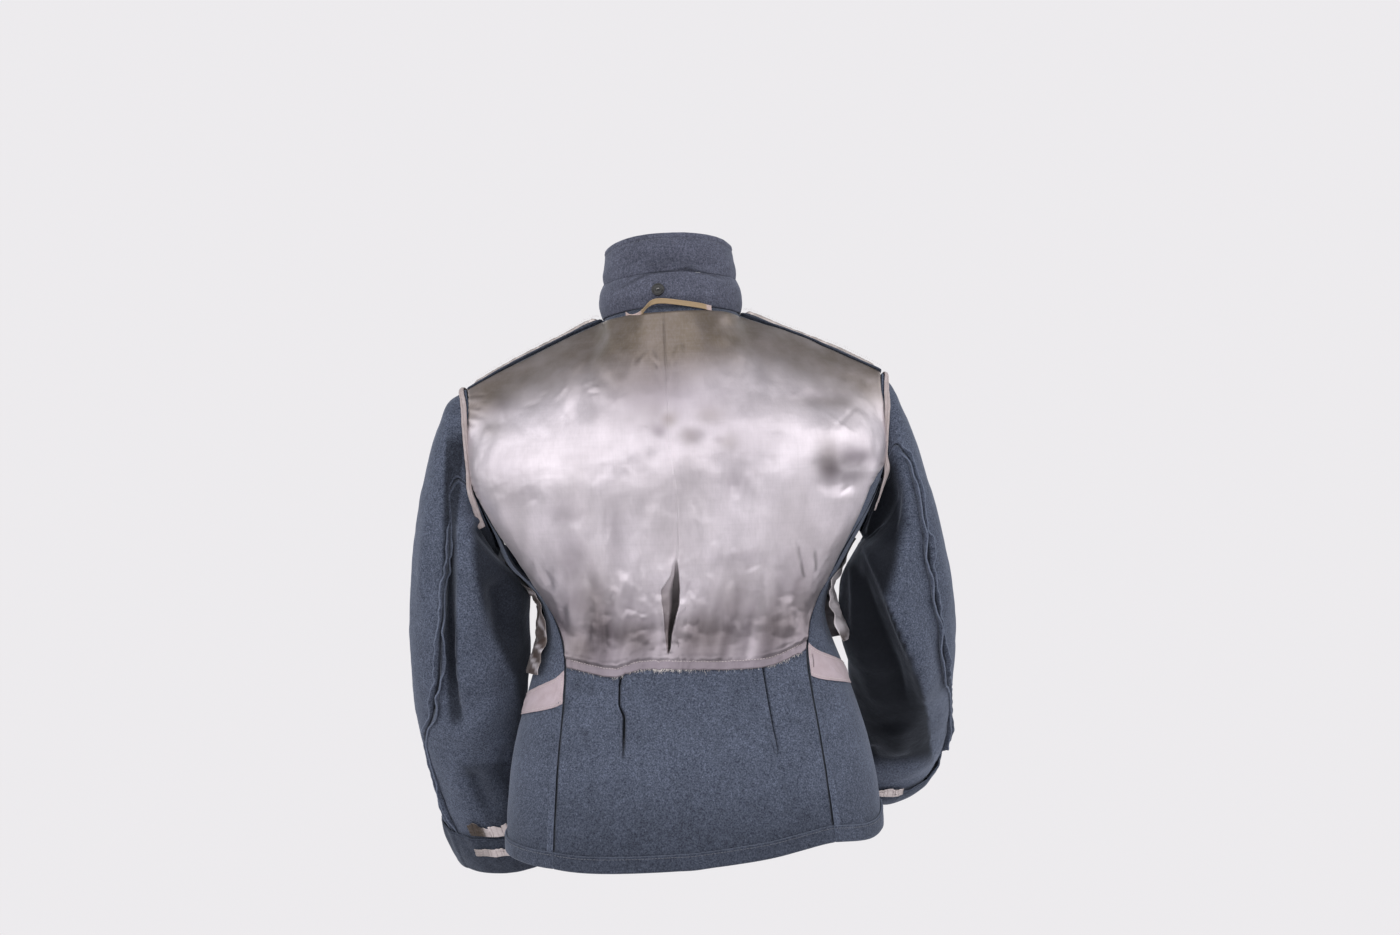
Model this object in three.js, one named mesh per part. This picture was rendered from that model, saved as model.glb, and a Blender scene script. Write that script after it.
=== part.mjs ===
// Military field blouse, worn and turned inside out: lining and seam allowances face outwards.
// Millimetres, +Z up. The front faces -Y, the back +Y, the wearer's left is +X.
// The origin is midway between the two points where the shoulder seams meet the collar.
import * as THREE from "three";

// ---- Cloth and small driving sizes ----
const WOOL = 2.2;
const SATIN = 1.0;
const TAPE = 1.2;
const GAP = 0.4;
const SEAM_INSET = 0.45;
const SLEEVE_FIN_BASE = 2.9;
const SHOULDER_FIN_BASE = 3.0;
const ALLOWANCE = 8;
const HEM_TURN = 13.5;
const OVERLAP = 15;
const LAP_LIFT = 1.8;
const CUFF_FACING = 34;
const BINDING_WIDTH = 7;
const LINING_CLEARANCE = 0.9;
const ON_BACK = WOOL / 2 + GAP + SATIN / 2 + LINING_CLEARANCE;
const ON_FRONT = ON_BACK + 0.5;
const ON_WOOL = WOOL + GAP;
const LINING_TOP = 7.5;
const LINING_SIDE = 5;
const LINING_ARMHOLE = 9;
const BODY_CLEARANCE = 5.5;

// ---- Body of the blouse: half width, depth behind and before the side line, squareness ----
const TORSO = [
  { z: -566, half: 196, back: 128, front: 139, square: 0.8 },
  { z: -520, half: 195, back: 125, front: 138, square: 0.8 },
  { z: -470, half: 189, back: 118, front: 133, square: 0.82 },
  { z: -428, half: 179, back: 107, front: 126, square: 0.83 },
  { z: -397, half: 170, back: 98, front: 120, square: 0.84 },
  { z: -362, half: 158, back: 89, front: 116, square: 0.85 },
  { z: -340, half: 150, back: 86, front: 115, square: 0.85 },
  { z: -319, half: 146, back: 86, front: 115, square: 0.85 },
  { z: -298, half: 150, back: 89, front: 117, square: 0.84 },
  { z: -277, half: 161, back: 93, front: 120, square: 0.82 },
  { z: -250, half: 177, back: 98, front: 124, square: 0.79 },
  { z: -236, half: 186, back: 100, front: 126, square: 0.77 },
  { z: -205, half: 203, back: 105, front: 128, square: 0.73 },
  { z: -180, half: 213, back: 109, front: 128, square: 0.71 },
  { z: -150, half: 215, back: 111, front: 128, square: 0.71 },
];
const CHEST = -180;
const HEM = -560;

// Half distance between the two side-back seams, seen from behind.
const SIDE_BACK_SEAM = [
  { z: -566, x: 143 },
  { z: -533, x: 141 },
  { z: -447, x: 133 },
  { z: -391, x: 126 },
  { z: -357, x: 124 },
  { z: -342, x: 125 },
  { z: -318, x: 131 },
  { z: -291, x: 144 },
  { z: -271, x: 157 },
  { z: -240, x: 175 },
  { z: -215, x: 192 },
  { z: -195, x: 203 },
  { z: -180, x: 210 },
];

// Height of the hem on the wearer's two sides; around runs 0 at centre back, 1 at the
// side-back seam, 2 at centre front.
const HEM_LINE = [
  { around: 0, left: -560, right: -560 },
  { around: 0.5, left: -561, right: -553 },
  { around: 0.8, left: -560, right: -546 },
  { around: 1, left: -557, right: -543 },
  { around: 1.1, left: -554, right: -547 },
  { around: 1.2, left: -551, right: -543 },
  { around: 1.35, left: -549, right: -536 },
  { around: 2, left: -552, right: -552 },
];
const HEM_EASES_OUT = -380;

// ---- Neck, shoulders and armholes ----
const NECK = { half: 72, back: 65, front: 70, zBack: 5, zSide: -3, zFront: -62 };
const SHOULDER = { x: 218, y: 0, z: -69, rise: 3 };
const ARMHOLE_FRONT_X = 195;
const ARMHOLE_DROP = 58;
const UNDERARM_EASE = -296;
const ARMHOLE_STEP = 2.2;
const ARMHOLE_UNDER_STEP = 3;
const NECK_SHARE = 0.38;

// Direction in which each panel's columns arrive at the top; across runs 0 at the centre,
// 1 at the armhole. The y of the back is turned forwards, that of the front backwards.
const ARRIVAL = [
  { across: 0, out: 0, turn: 0.45, up: 0.9 },
  { across: 0.38, out: 0.02, turn: 0.85, up: 0.5 },
  { across: 0.7, out: 0.08, turn: 0.82, up: 0.55 },
  { across: 1, out: 0.22, turn: 0.8, up: 0.6 },
];

// ---- Collar: height above the neck seam, size against the neck's outline, forward lean ----
const COLLAR_STAND = [
  { height: 0, size: 1.0, lean: 0 },
  { height: 11, size: 1.035, lean: 0.5 },
  { height: 24, size: 1.02, lean: 1.5 },
  { height: 34, size: 0.955, lean: 2.5 },
];
const COLLAR_FALL = [
  { height: 35.2, size: 0.945, lean: 2.6 },
  { height: 46, size: 0.96, lean: 3.5 },
  { height: 60, size: 0.93, lean: 5 },
  { height: 75, size: 0.915, lean: 7 },
];
const COLLAR_END = 0.95;

// ---- Sleeves: each row gives the outermost and innermost point of a section, the depth of
// its middle, the forearm's forward tilt in degrees, half the section's depth, and how far its
// back and front bow outwards from the straight line between the two points ----
const SLEEVE_LEFT = [
  { outX: 239, outZ: -82, inX: 196, inZ: -246, y: -17, tilt: 0, deep: 53, bow: 9 },
  { outX: 254, outZ: -113, inX: 189, inZ: -256, y: -15, tilt: 0, deep: 59, bow: 10 },
  { outX: 268, outZ: -160, inX: 171, inZ: -268, y: -12, tilt: 3, deep: 64, bow: 8 },
  { outX: 279, outZ: -208, inX: 163, inZ: -283, y: -13, tilt: 6, deep: 66, bow: 4 },
  { outX: 287, outZ: -255, inX: 164, inZ: -300, y: -17, tilt: 8, deep: 64, bow: 1 },
  { outX: 292, outZ: -305, inX: 167, inZ: -326, y: -24, tilt: 11, deep: 61, bow: 0 },
  { outX: 294, outZ: -350, inX: 169, inZ: -362, y: -33, tilt: 16, deep: 60, bow: 0 },
  { outX: 294, outZ: -390, inX: 175, inZ: -398, y: -45, tilt: 20, deep: 59, bow: 0 },
  { outX: 292, outZ: -425, inX: 178, inZ: -432, y: -59, tilt: 22, deep: 57, bow: 0 },
  { outX: 286, outZ: -463, inX: 175, inZ: -470, y: -75, tilt: 23, deep: 55, bow: 0 },
  { outX: 279, outZ: -500, inX: 170, inZ: -505, y: -91, tilt: 24, deep: 53, bow: 0 },
  { outX: 272, outZ: -535, inX: 166, inZ: -540, y: -107, tilt: 24, deep: 51, bow: 0 },
  { outX: 263, outZ: -579, inX: 164, inZ: -584, y: -126, tilt: 24, deep: 48, bow: 0 },
];
const SLEEVE_RIGHT = [
  { outX: 233, outZ: -91, inX: 194, inZ: -246, y: -17, tilt: 0, deep: 53, bow: 9 },
  { outX: 246, outZ: -126, inX: 187, inZ: -256, y: -15, tilt: 0, deep: 58, bow: 10 },
  { outX: 258, outZ: -170, inX: 178, inZ: -268, y: -12, tilt: 4, deep: 63, bow: 8 },
  { outX: 269, outZ: -216, inX: 170, inZ: -283, y: -13, tilt: 8, deep: 65, bow: 4 },
  { outX: 277, outZ: -260, inX: 166, inZ: -300, y: -17, tilt: 12, deep: 63, bow: 1 },
  { outX: 286, outZ: -305, inX: 165, inZ: -322, y: -27, tilt: 19, deep: 60, bow: 0 },
  { outX: 289, outZ: -343, inX: 168, inZ: -352, y: -44, tilt: 31, deep: 59, bow: 0 },
  { outX: 289, outZ: -373, inX: 175, inZ: -378, y: -67, tilt: 42, deep: 58, bow: 0 },
  { outX: 289, outZ: -401, inX: 176, inZ: -405, y: -96, tilt: 46, deep: 56, bow: 0 },
  { outX: 288, outZ: -428, inX: 176, inZ: -431, y: -124, tilt: 47, deep: 55, bow: 0 },
  { outX: 287, outZ: -455, inX: 176, inZ: -458, y: -152, tilt: 47, deep: 53, bow: 0 },
  { outX: 284, outZ: -481, inX: 178, inZ: -484, y: -179, tilt: 47, deep: 52, bow: 0 },
  { outX: 281, outZ: -508, inX: 181, inZ: -512, y: -207, tilt: 47, deep: 49, bow: 0 },
];

// Where the sleeve's two seams run: share of the way round, 0 outermost, 0.25 at the back,
// 0.5 innermost; along runs 0 at the armhole, 1 at the cuff.
const SLEEVE_SEAMS = [
  { along: 0, hindLeft: 0.27, hindRight: 0.24, fore: 0.66 },
  { along: 0.2, hindLeft: 0.215, hindRight: 0.16, fore: 0.68 },
  { along: 0.45, hindLeft: 0.19, hindRight: 0.145, fore: 0.7 },
  { along: 0.6, hindLeft: 0.16, hindRight: 0.125, fore: 0.7 },
  { along: 0.72, hindLeft: 0.085, hindRight: 0.06, fore: 0.68 },
  { along: 0.85, hindLeft: 0.1, hindRight: 0.05, fore: 0.68 },
  { along: 1, hindLeft: 0.12, hindRight: 0.06, fore: 0.68 },
];

// Largest folds of the sleeves: middle and half extent along and round, and outward rise.
const SLEEVE_FOLDS_LEFT = [
  { along: 0.42, reach: 0.3, round: 0.235, spread: 0.035, rise: -7 },
  { along: 0.42, reach: 0.32, round: 0.3, spread: 0.05, rise: 4 },
  { along: 0.62, reach: 0.05, round: 0.8, spread: 0.14, rise: -5 },
  { along: 0.72, reach: 0.05, round: 0.7, spread: 0.12, rise: -4 },
  { along: 0.84, reach: 0.06, round: 0.35, spread: 0.12, rise: 3 },
];
const SLEEVE_FOLDS_RIGHT = [
  { along: 0.55, reach: 0.26, round: 0.3, spread: 0.06, rise: -6 },
  { along: 0.3, reach: 0.2, round: 0.36, spread: 0.07, rise: 4 },
  { along: 0.58, reach: 0.05, round: 0.78, spread: 0.14, rise: -7 },
  { along: 0.68, reach: 0.05, round: 0.72, spread: 0.12, rise: -5 },
  { along: 0.86, reach: 0.07, round: 0.2, spread: 0.1, rise: 3 },
];

// Folds of the back lining beside the pleat at its foot: across as a share of the way to the
// side-back seam (left positive), and outward lift.
const LINING_FOLDS = [
  { across: 0.06, spread: 0.05, z: -318, reach: 62, lift: 6 },
  { across: -0.06, spread: 0.05, z: -322, reach: 58, lift: 5 },
  { across: 0.38, spread: 0.14, z: -325, reach: 70, lift: 4 },
  { across: -0.69, spread: 0.14, z: -322, reach: 90, lift: 3 },
];

// ---- Rows and columns of the surface grids ----
const LOWER_ROWS = [-560, -525, -490, -455, -420, -390, -362, -340, -318, -296, -272, -245, -212, -180];
const YOKE_ROWS = [1 / 6, 2 / 6, 3 / 6, 4 / 6, 5 / 6, 1];
const BACK_ACROSS = [0, 0.05, 0.2, NECK_SHARE, 0.535, 0.69, 0.845, 1];
const FRONT_ACROSS = [0, 0.19, NECK_SHARE, 0.535, 0.69, 0.845, 1];
const SIDE_COLUMNS = [0.12, 0.36, 0.64, 0.88, 1];
const UNDER_CELLS = 6;
const UPPER_CELLS = 8;
const SLEEVE_CELLS = 13;
const BINDING_SHARE = 0.018;
const LINING_FOOT = -362;

// ---- Small helpers ----
const mix = (a, b, t) => a + (b - a) * t;
const clamp = (value, low, high) => Math.min(Math.max(value, low), high);
const point = (x, y, z) => new THREE.Vector3(x, y, z);

// Hermite curve from a to b that leaves with slope da and arrives with slope db.
function hermite(a, b, da, db, t) {
  const [t2, t3] = [t * t, t * t * t];
  return a * (2 * t3 - 3 * t2 + 1) + b * (3 * t2 - 2 * t3) + da * (t3 - 2 * t2 + t) + db * (t3 - t2);
}

// All columns of a table at one value of its key column, on a smooth curve through the rows.
function readTable(rows, key, at) {
  const last = rows.length - 1;
  const place = clamp(at, rows[0][key], rows[last][key]);
  let i = 0;
  while (i < last - 1 && place > rows[i + 1][key]) i++;
  const span = rows[i + 1][key] - rows[i][key];
  const slope = (row, column) => {
    const [before, after] = [rows[Math.max(row - 1, 0)], rows[Math.min(row + 1, last)]];
    return ((after[column] - before[column]) / (after[key] - before[key])) * span;
  };
  const values = {};
  for (const column of Object.keys(rows[0])) {
    const [a, b] = [rows[i][column], rows[i + 1][column]];
    values[column] = hermite(a, b, slope(i, column), slope(i + 1, column), (place - rows[i][key]) / span);
  }
  return values;
}

// A soft bump, 1 in its middle and 0 from one half extent on.
function bump(distance, extent) {
  const share = clamp(Math.abs(distance) / extent, 0, 1);
  return (1 - share * share) ** 2;
}

// ---- The torso's horizontal outline ----
const RING_STEPS = 160;
const rings = new Map();

// Half outline at a height, from centre back to centre front, with the way along it.
function ring(z) {
  if (rings.has(z)) return rings.get(z);
  const size = readTable(TORSO, "z", z);
  const points = [];
  const way = [0];
  for (let i = 0; i <= RING_STEPS; i++) {
    const angle = (Math.PI * i) / RING_STEPS;
    const cosine = Math.cos(angle);
    const depth = cosine > 0 ? size.back : -size.front;
    const x = size.half * Math.sin(angle) ** size.square;
    points.push([i === RING_STEPS ? 0 : x, depth * Math.abs(cosine) ** size.square]);
    if (i > 0) {
      const [a, b] = [points[i - 1], points[i]];
      way.push(way[i - 1] + Math.hypot(b[0] - a[0], b[1] - a[1]));
    }
  }
  const made = { points, way, total: way[RING_STEPS] };
  rings.set(z, made);
  return made;
}

function alongRing({ points, way, total }, distance) {
  const place = clamp(distance, 0, total);
  let i = 0;
  while (i < RING_STEPS - 1 && way[i + 1] < place) i++;
  const t = (place - way[i]) / (way[i + 1] - way[i]);
  return [mix(points[i][0], points[i + 1][0], t), mix(points[i][1], points[i + 1][1], t)];
}

// Way along the outline to a given x, behind the side line or before it.
function wayToX(outline, x, behind) {
  const half = RING_STEPS / 2;
  const start = behind ? 0 : half;
  for (let i = start; i < start + half; i++) {
    const [a, b] = [outline.points[i][0], outline.points[i + 1][0]];
    if ((a - x) * (b - x) <= 0 && a !== b) {
      return mix(outline.way[i], outline.way[i + 1], (x - a) / (b - a));
    }
  }
  return outline.way[half];
}

const seamWay = (z) => wayToX(ring(z), readTable(SIDE_BACK_SEAM, "z", z).x, true);

// ---- Neck and shoulder lines ----
// turn: 0 at centre back, 1 at the shoulder, 2 at centre front.
function neckLine(turn) {
  const angle = (Math.PI / 2) * turn;
  const [sine, cosine] = [Math.sin(angle), Math.cos(angle)];
  const y = cosine > 0 ? NECK.back * cosine : NECK.front * cosine;
  const drop = (1 - sine) ** 1.2;
  const z = cosine > 0 ? mix(NECK.zSide, NECK.zBack, cosine * cosine) : mix(NECK.zSide, NECK.zFront, drop);
  return point(NECK.half * sine, y, z);
}

function shoulderLine(share) {
  const start = neckLine(1);
  const rise = SHOULDER.rise * 4 * share * (1 - share);
  return point(mix(start.x, SHOULDER.x, share), mix(start.y, SHOULDER.y, share), mix(start.z, SHOULDER.z, share) + rise);
}

// Top edge of a panel; across 0 at the centre, NECK_SHARE at the neck point, 1 at the armhole.
function topEdge(across, behind) {
  if (across >= NECK_SHARE) return shoulderLine((across - NECK_SHARE) / (1 - NECK_SHARE));
  const share = across / NECK_SHARE;
  return neckLine(behind ? share : 2 - share);
}

// A column's way from the chest line to the top edge.
function yokePoint(chest, below, across, behind, share) {
  const top = topEdge(across, behind);
  const length = chest.distanceTo(top);
  const leave = chest.clone().sub(below).normalize().multiplyScalar(length);
  const arrive = readTable(ARRIVAL, "across", across);
  const turn = behind ? -arrive.turn : arrive.turn;
  const land = point(arrive.out, turn, arrive.up).normalize().multiplyScalar(length);
  const axis = (name) => hermite(chest[name], top[name], leave[name], land[name], share);
  return point(axis("x"), axis("y"), axis("z"));
}

// ---- Surface grids: rows of points from the hem up, with outward directions ----
function outwardNormals(rows, inside, { closed = false, firstColumn = () => 0 } = {}) {
  const count = rows[0].length;
  return rows.map((row, r) =>
    row.map((place, c) => {
      const start = c >= firstColumn(r) ? firstColumn(r) : 0;
      const left = closed ? (c + count - 1) % count : Math.max(c - 1, start);
      const right = closed ? (c + 1) % count : Math.min(c + 1, count - 1);
      const across = row[right].clone().sub(row[left]);
      const up = rows[Math.min(r + 1, rows.length - 1)][c].clone().sub(rows[Math.max(r - 1, 0)][c]);
      const normal = across.cross(up).normalize();
      const away = place.clone().sub(inside(r));
      return normal.dot(away) < 0 ? normal.negate() : normal;
    }),
  );
}

const TORSO_AXIS = (rows) => (r) => point(0, 0, rows[r][Math.floor(rows[r].length / 2)].z - 30);

function hemShift(side, around, z) {
  const line = readTable(HEM_LINE, "around", around);
  const hem = side > 0 ? line.left : line.right;
  return (hem - HEM) * clamp((HEM_EASES_OUT - z) / (HEM_EASES_OUT - HEM), 0, 1);
}

function backPoint(across, z) {
  const side = across < 0 ? -1 : 1;
  const height = z + hemShift(side, Math.abs(across), z);
  const [x, y] = alongRing(ring(height), Math.abs(across) * seamWay(height));
  return point(side * x, y, height);
}

function backGrid() {
  const columns = [...BACK_ACROSS.slice(1).reverse().map((share) => -share), ...BACK_ACROSS];
  const rows = LOWER_ROWS.map((z) => columns.map((across) => backPoint(across, z)));
  for (const share of YOKE_ROWS) {
    rows.push(
      columns.map((across) => {
        const side = across < 0 ? -1 : 1;
        const [chest, below] = [backPoint(Math.abs(across), CHEST), backPoint(Math.abs(across), CHEST - 6)];
        const place = yokePoint(chest, below, Math.abs(across), true, share);
        return point(side * place.x, place.y, place.z);
      }),
    );
  }
  return { columns, rows, normals: outwardNormals(rows, TORSO_AXIS(rows)) };
}

// Share of the way from centre front to the side-back seam at which the armhole starts.
const CHEST_SHARE = (() => {
  const outline = ring(CHEST);
  const span = outline.total - seamWay(CHEST);
  return (outline.total - wayToX(outline, ARMHOLE_FRONT_X, false)) / span;
})();

function frontPoint(side, share, z) {
  const height = z + hemShift(side, 2 - Math.abs(share), z);
  const outline = ring(height);
  const [x, y] = alongRing(outline, outline.total - Math.abs(share) * (outline.total - seamWay(height)));
  return point(side * Math.sign(share || 1) * x, y, height);
}

// Columns run from the side-back seam round the side to centre front and past it. The two
// fronts lie one on the other there: layer +1 is the outer one, -1 the inner one.
function frontGrid(side, layer) {
  const chestSpan = CHEST_SHARE * (ring(CHEST).total - seamWay(CHEST));
  const past = (OVERLAP - (layer > 0 ? 2 : 0)) / chestSpan;
  const columns = [
    ...SIDE_COLUMNS.toReversed().map((w) => ({ share: mix(CHEST_SHARE, 1, w), side: w })),
    ...[...FRONT_ACROSS.slice(1).reverse(), past, 0, -past].map((across) => ({
      share: across * CHEST_SHARE,
      side: 0,
      across,
    })),
  ];
  const lapShift = (x) => layer * LAP_LIFT * (1 - clamp((Math.abs(x) - OVERLAP) / 45, 0, 1));
  const rows = LOWER_ROWS.map((z) =>
    columns.map((column) => {
      const drop = ARMHOLE_DROP * Math.sqrt(Math.max(0, 1 - (2 * column.side - 1) ** 2));
      const squeeze = (CHEST - drop - UNDERARM_EASE) / (CHEST - UNDERARM_EASE);
      const lowered = z > UNDERARM_EASE ? UNDERARM_EASE + (z - UNDERARM_EASE) * squeeze : z;
      return frontPoint(side, column.share, column.across === undefined ? lowered : z);
    }),
  );
  for (const share of YOKE_ROWS) {
    rows.push(
      columns.map((column) => {
        if (column.across === undefined) return rows[LOWER_ROWS.length - 1][columns.indexOf(column)].clone();
        const across = Math.abs(column.across);
        const mirror = side * (column.across < 0 ? -1 : 1);
        const [chest, below] = [frontPoint(1, across * CHEST_SHARE, CHEST), frontPoint(1, across * CHEST_SHARE, CHEST - 6)];
        const place = yokePoint(chest, below, across, false, share);
        return point(mirror * place.x, place.y, place.z);
      }),
    );
  }
  const firstColumn = (r) => (r >= LOWER_ROWS.length ? SIDE_COLUMNS.length : 0);
  const normals = outwardNormals(rows, TORSO_AXIS(rows), { firstColumn });
  rows.forEach((row, r) => row.forEach((place, c) => place.addScaledVector(normals[r][c], lapShift(place.x))));
  return { columns, rows, normals, sideCells: SIDE_COLUMNS.length };
}

// ---- Cloth walls ----
// A closed wall on a grid of points, half its thickness to each side. keep(r, c) says which
// cells are cloth; closed joins the last column to the first.
function wall(rows, thickness, { keep = () => true, closed = false } = {}) {
  const columns = rows[0].length;
  const places = rows.flat();
  const cells = [];
  for (let r = 0; r < rows.length - 1; r++) {
    for (let c = 0; c < (closed ? columns : columns - 1); c++) {
      const next = (c + 1) % columns;
      if (keep(r, c)) {
        cells.push([r * columns + c, r * columns + next, (r + 1) * columns + next, (r + 1) * columns + c]);
      }
    }
  }
  const around = places.map(() => []);
  for (const cell of cells) {
    const [a, b, c, d] = cell.map((corner) => places[corner]);
    const normal = c.clone().sub(a).cross(d.clone().sub(b)).normalize();
    for (const corner of cell) around[corner].push(normal);
  }
  const numbers = new Map();
  const positions = [];
  places.forEach((place, i) => {
    if (!around[i].length) return;
    const normal = around[i].reduce((sum, one) => sum.add(one), point(0, 0, 0)).normalize();
    const facing = around[i].reduce((sum, one) => sum + one.dot(normal), 0) / around[i].length;
    const reach = thickness / 2 / Math.max(facing, 0.6);
    numbers.set(i, numbers.size);
    for (const sign of [1, -1]) {
      positions.push(...place.clone().addScaledVector(normal, sign * reach).toArray());
    }
  });
  const outer = (i) => numbers.get(i) * 2;
  const inner = (i) => numbers.get(i) * 2 + 1;
  const edges = new Set(cells.flatMap((cell) => cell.map((corner, k) => `${corner}>${cell[(k + 1) % 4]}`)));
  const triangles = [];
  for (const [a, b, c, d] of cells) {
    triangles.push([outer(a), outer(b), outer(c)], [outer(a), outer(c), outer(d)]);
    triangles.push([inner(c), inner(b), inner(a)], [inner(d), inner(c), inner(a)]);
    for (const [i, j] of [[a, b], [b, c], [c, d], [d, a]]) {
      if (edges.has(`${j}>${i}`)) continue;
      triangles.push([outer(j), outer(i), inner(i)], [outer(j), inner(i), inner(j)]);
    }
  }
  return solid(positions, triangles);
}

// A geometry whose faces point out, from its corners and triangles.
function solid(positions, triangles) {
  const corner = (i) => point(...positions.slice(3 * i, 3 * i + 3));
  let volume = 0;
  for (const [a, b, c] of triangles) volume += corner(a).dot(corner(b).cross(corner(c)));
  const geometry = new THREE.BufferGeometry();
  geometry.setAttribute("position", new THREE.Float32BufferAttribute(positions, 3));
  geometry.setIndex(triangles.flatMap(([a, b, c]) => (volume < 0 ? [a, c, b] : [a, b, c])));
  geometry.computeVertexNormals();
  return geometry;
}

// Moves the outermost rows and columns of a grid inwards along the cloth.
function inset(rows, { first = 0, last = 0, bottom = 0, top = 0 }) {
  const moved = rows.map((row) => row.map((place) => place.clone()));
  const pull = (edge, next, distance) => {
    const way = next.clone().sub(edge);
    const length = way.length();
    if (length > 1e-6) edge.addScaledVector(way, distance / length);
  };
  const end = rows[0].length - 1;
  rows.forEach((row, r) => {
    if (first) pull(moved[r][0], row[1], first);
    if (last) pull(moved[r][end], row[end - 1], last);
  });
  const foot = moved.map((row) => row.map((place) => place.clone()));
  for (let c = 0; c <= end; c++) {
    if (bottom) pull(moved[0][c], foot[1][c], bottom);
    if (top) pull(moved[rows.length - 1][c], foot[rows.length - 2][c], top);
  }
  return moved;
}

// Point and outward direction of a grid between its rows and columns.
function onGrid(grid, column, row) {
  const c = Math.min(Math.floor(column), grid.rows[0].length - 2);
  const r = Math.min(Math.floor(row), grid.rows.length - 2);
  const blend = (table) => {
    const low = table[r][c].clone().lerp(table[r][c + 1], column - c);
    const high = table[r + 1][c].clone().lerp(table[r + 1][c + 1], column - c);
    return low.lerp(high, row - r);
  };
  return { place: blend(grid.rows), normal: blend(grid.normals).normalize() };
}

// A sheet lying on a grid: columns and rows are places on the grid, lift its height over it.
function lay(grid, columns, rows, lift) {
  return rows.map((row) =>
    columns.map((column) => {
      const at = typeof row === "function" ? row(column) : row;
      const { place, normal } = onGrid(grid, column, at);
      return place.addScaledVector(normal, typeof lift === "function" ? lift(column, at) : lift);
    }),
  );
}

// The row of a grid at which its cloth passes a height, in one column.
function rowAt(grid, column, z) {
  let row = 0;
  while (onGrid(grid, column, row + 1).place.z < z) row++;
  const [low, high] = [onGrid(grid, column, row).place.z, onGrid(grid, column, row + 1).place.z];
  return row + (z - low) / (high - low);
}

const whole = (from, to) => {
  const inner = [];
  for (let i = Math.floor(from) + 1; i < to; i++) inner.push(i);
  return [from, ...inner, to];
};

// Rows added below a grid's first one: the hem turned outwards and up.
function withHemTurn(rows, normals) {
  const away = ON_WOOL;
  const foot = rows[0].map((place, c) => place.clone().addScaledVector(normals[0][c], away));
  const edge = rows[0].map((place, c) => {
    const share = HEM_TURN / place.distanceTo(rows[1][c]);
    return place.clone().lerp(rows[1][c], share).addScaledVector(normals[0][c], away);
  });
  return [edge, foot, ...rows];
}

// One more row above a grid's last one: the seam allowance standing up, leaning back by lean.
function withStandingTop(rows, normals, lean) {
  const top = rows.length - 1;
  const edge = rows[top].map((place, c) => {
    const away = rows[top - 1][c].clone().sub(place).normalize();
    return place.clone().addScaledVector(normals[top][c], ALLOWANCE).addScaledVector(away, lean);
  });
  return [...rows, edge];
}

// ---- Materials ----
const wool = new THREE.MeshStandardMaterial({ color: 0x4c5162, roughness: 0.95, metalness: 0 });
const woolCollar = new THREE.MeshStandardMaterial({ color: 0x585a67, roughness: 0.95, metalness: 0 });
const satin = new THREE.MeshStandardMaterial({ color: 0x948b90, roughness: 0.35, metalness: 0 });
const cotton = new THREE.MeshStandardMaterial({ color: 0xb3a6ae, roughness: 0.9, metalness: 0 });
const tanTape = new THREE.MeshStandardMaterial({ color: 0x9e8b7d, roughness: 0.9, metalness: 0 });
const horn = new THREE.MeshStandardMaterial({ color: 0x15151a, roughness: 0.4, metalness: 0 });

const blouse = new THREE.Group();

function add(name, geometry, material) {
  const mesh = new THREE.Mesh(geometry, material.clone());
  mesh.name = name;
  blouse.add(mesh);
  return mesh;
}

// ---- Back: one panel from hem to shoulders, its hem turned up, its shoulder allowances up ----
const back = backGrid();
const centreColumn = BACK_ACROSS.length - 1;
const chestRow = LOWER_ROWS.length - 1;
const topRow = back.rows.length - 1;
const neckCell = BACK_ACROSS.indexOf(NECK_SHARE);
{
  const body = inset(back.rows, { first: SEAM_INSET, last: SEAM_INSET });
  const shoulders = body[topRow].map((place, c) => {
    const onShoulder = Math.abs(c - centreColumn) > neckCell - 1;
    const down = body[topRow - 1][c].clone().sub(place).normalize();
    return place.clone().addScaledVector(down, onShoulder ? SHOULDER_FIN_BASE : SEAM_INSET);
  });
  body[topRow] = shoulders;
  const rows = withStandingTop(withHemTurn(body, back.normals), [null, null, ...back.normals], 2);
  const keep = (r, c) => {
    const fin = r === rows.length - 2;
    const fromCentre = c < centreColumn ? centreColumn - c - 1 : c - centreColumn;
    return !fin || fromCentre >= neckCell;
  };
  add("back", wall(rows, WOOL, { keep }), wool);
}

// ---- Back lining: satin over the back panel, down to the waist, with a pleat at its foot ----
const acrossToColumn = (across) => {
  const { columns } = back;
  let i = 0;
  while (i < columns.length - 2 && across > columns[i + 1]) i++;
  return i + (across - columns[i]) / (columns[i + 1] - columns[i]);
};
{
  const foot = LOWER_ROWS.indexOf(LINING_FOOT);
  const columns = whole(0, 2 * centreColumn);
  const rows = whole(foot, topRow);
  const lift = (column, row) => {
    const { place } = onGrid(back, column, row);
    const low = Math.floor(Math.min(column, back.columns.length - 2));
    const across = mix(back.columns[low], back.columns[low + 1], column - low);
    const folds = LINING_FOLDS.map(
      (fold) => fold.lift * bump(across - fold.across, fold.spread) * bump(place.z - fold.z, fold.reach),
    );
    return ON_BACK + folds.reduce((sum, one) => sum + one, 0);
  };
  const sheet = inset(lay(back, columns, rows, lift), { first: LINING_SIDE, last: LINING_SIDE, top: LINING_TOP });
  add("back_lining", wall(sheet, SATIN), satin);
}

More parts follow.
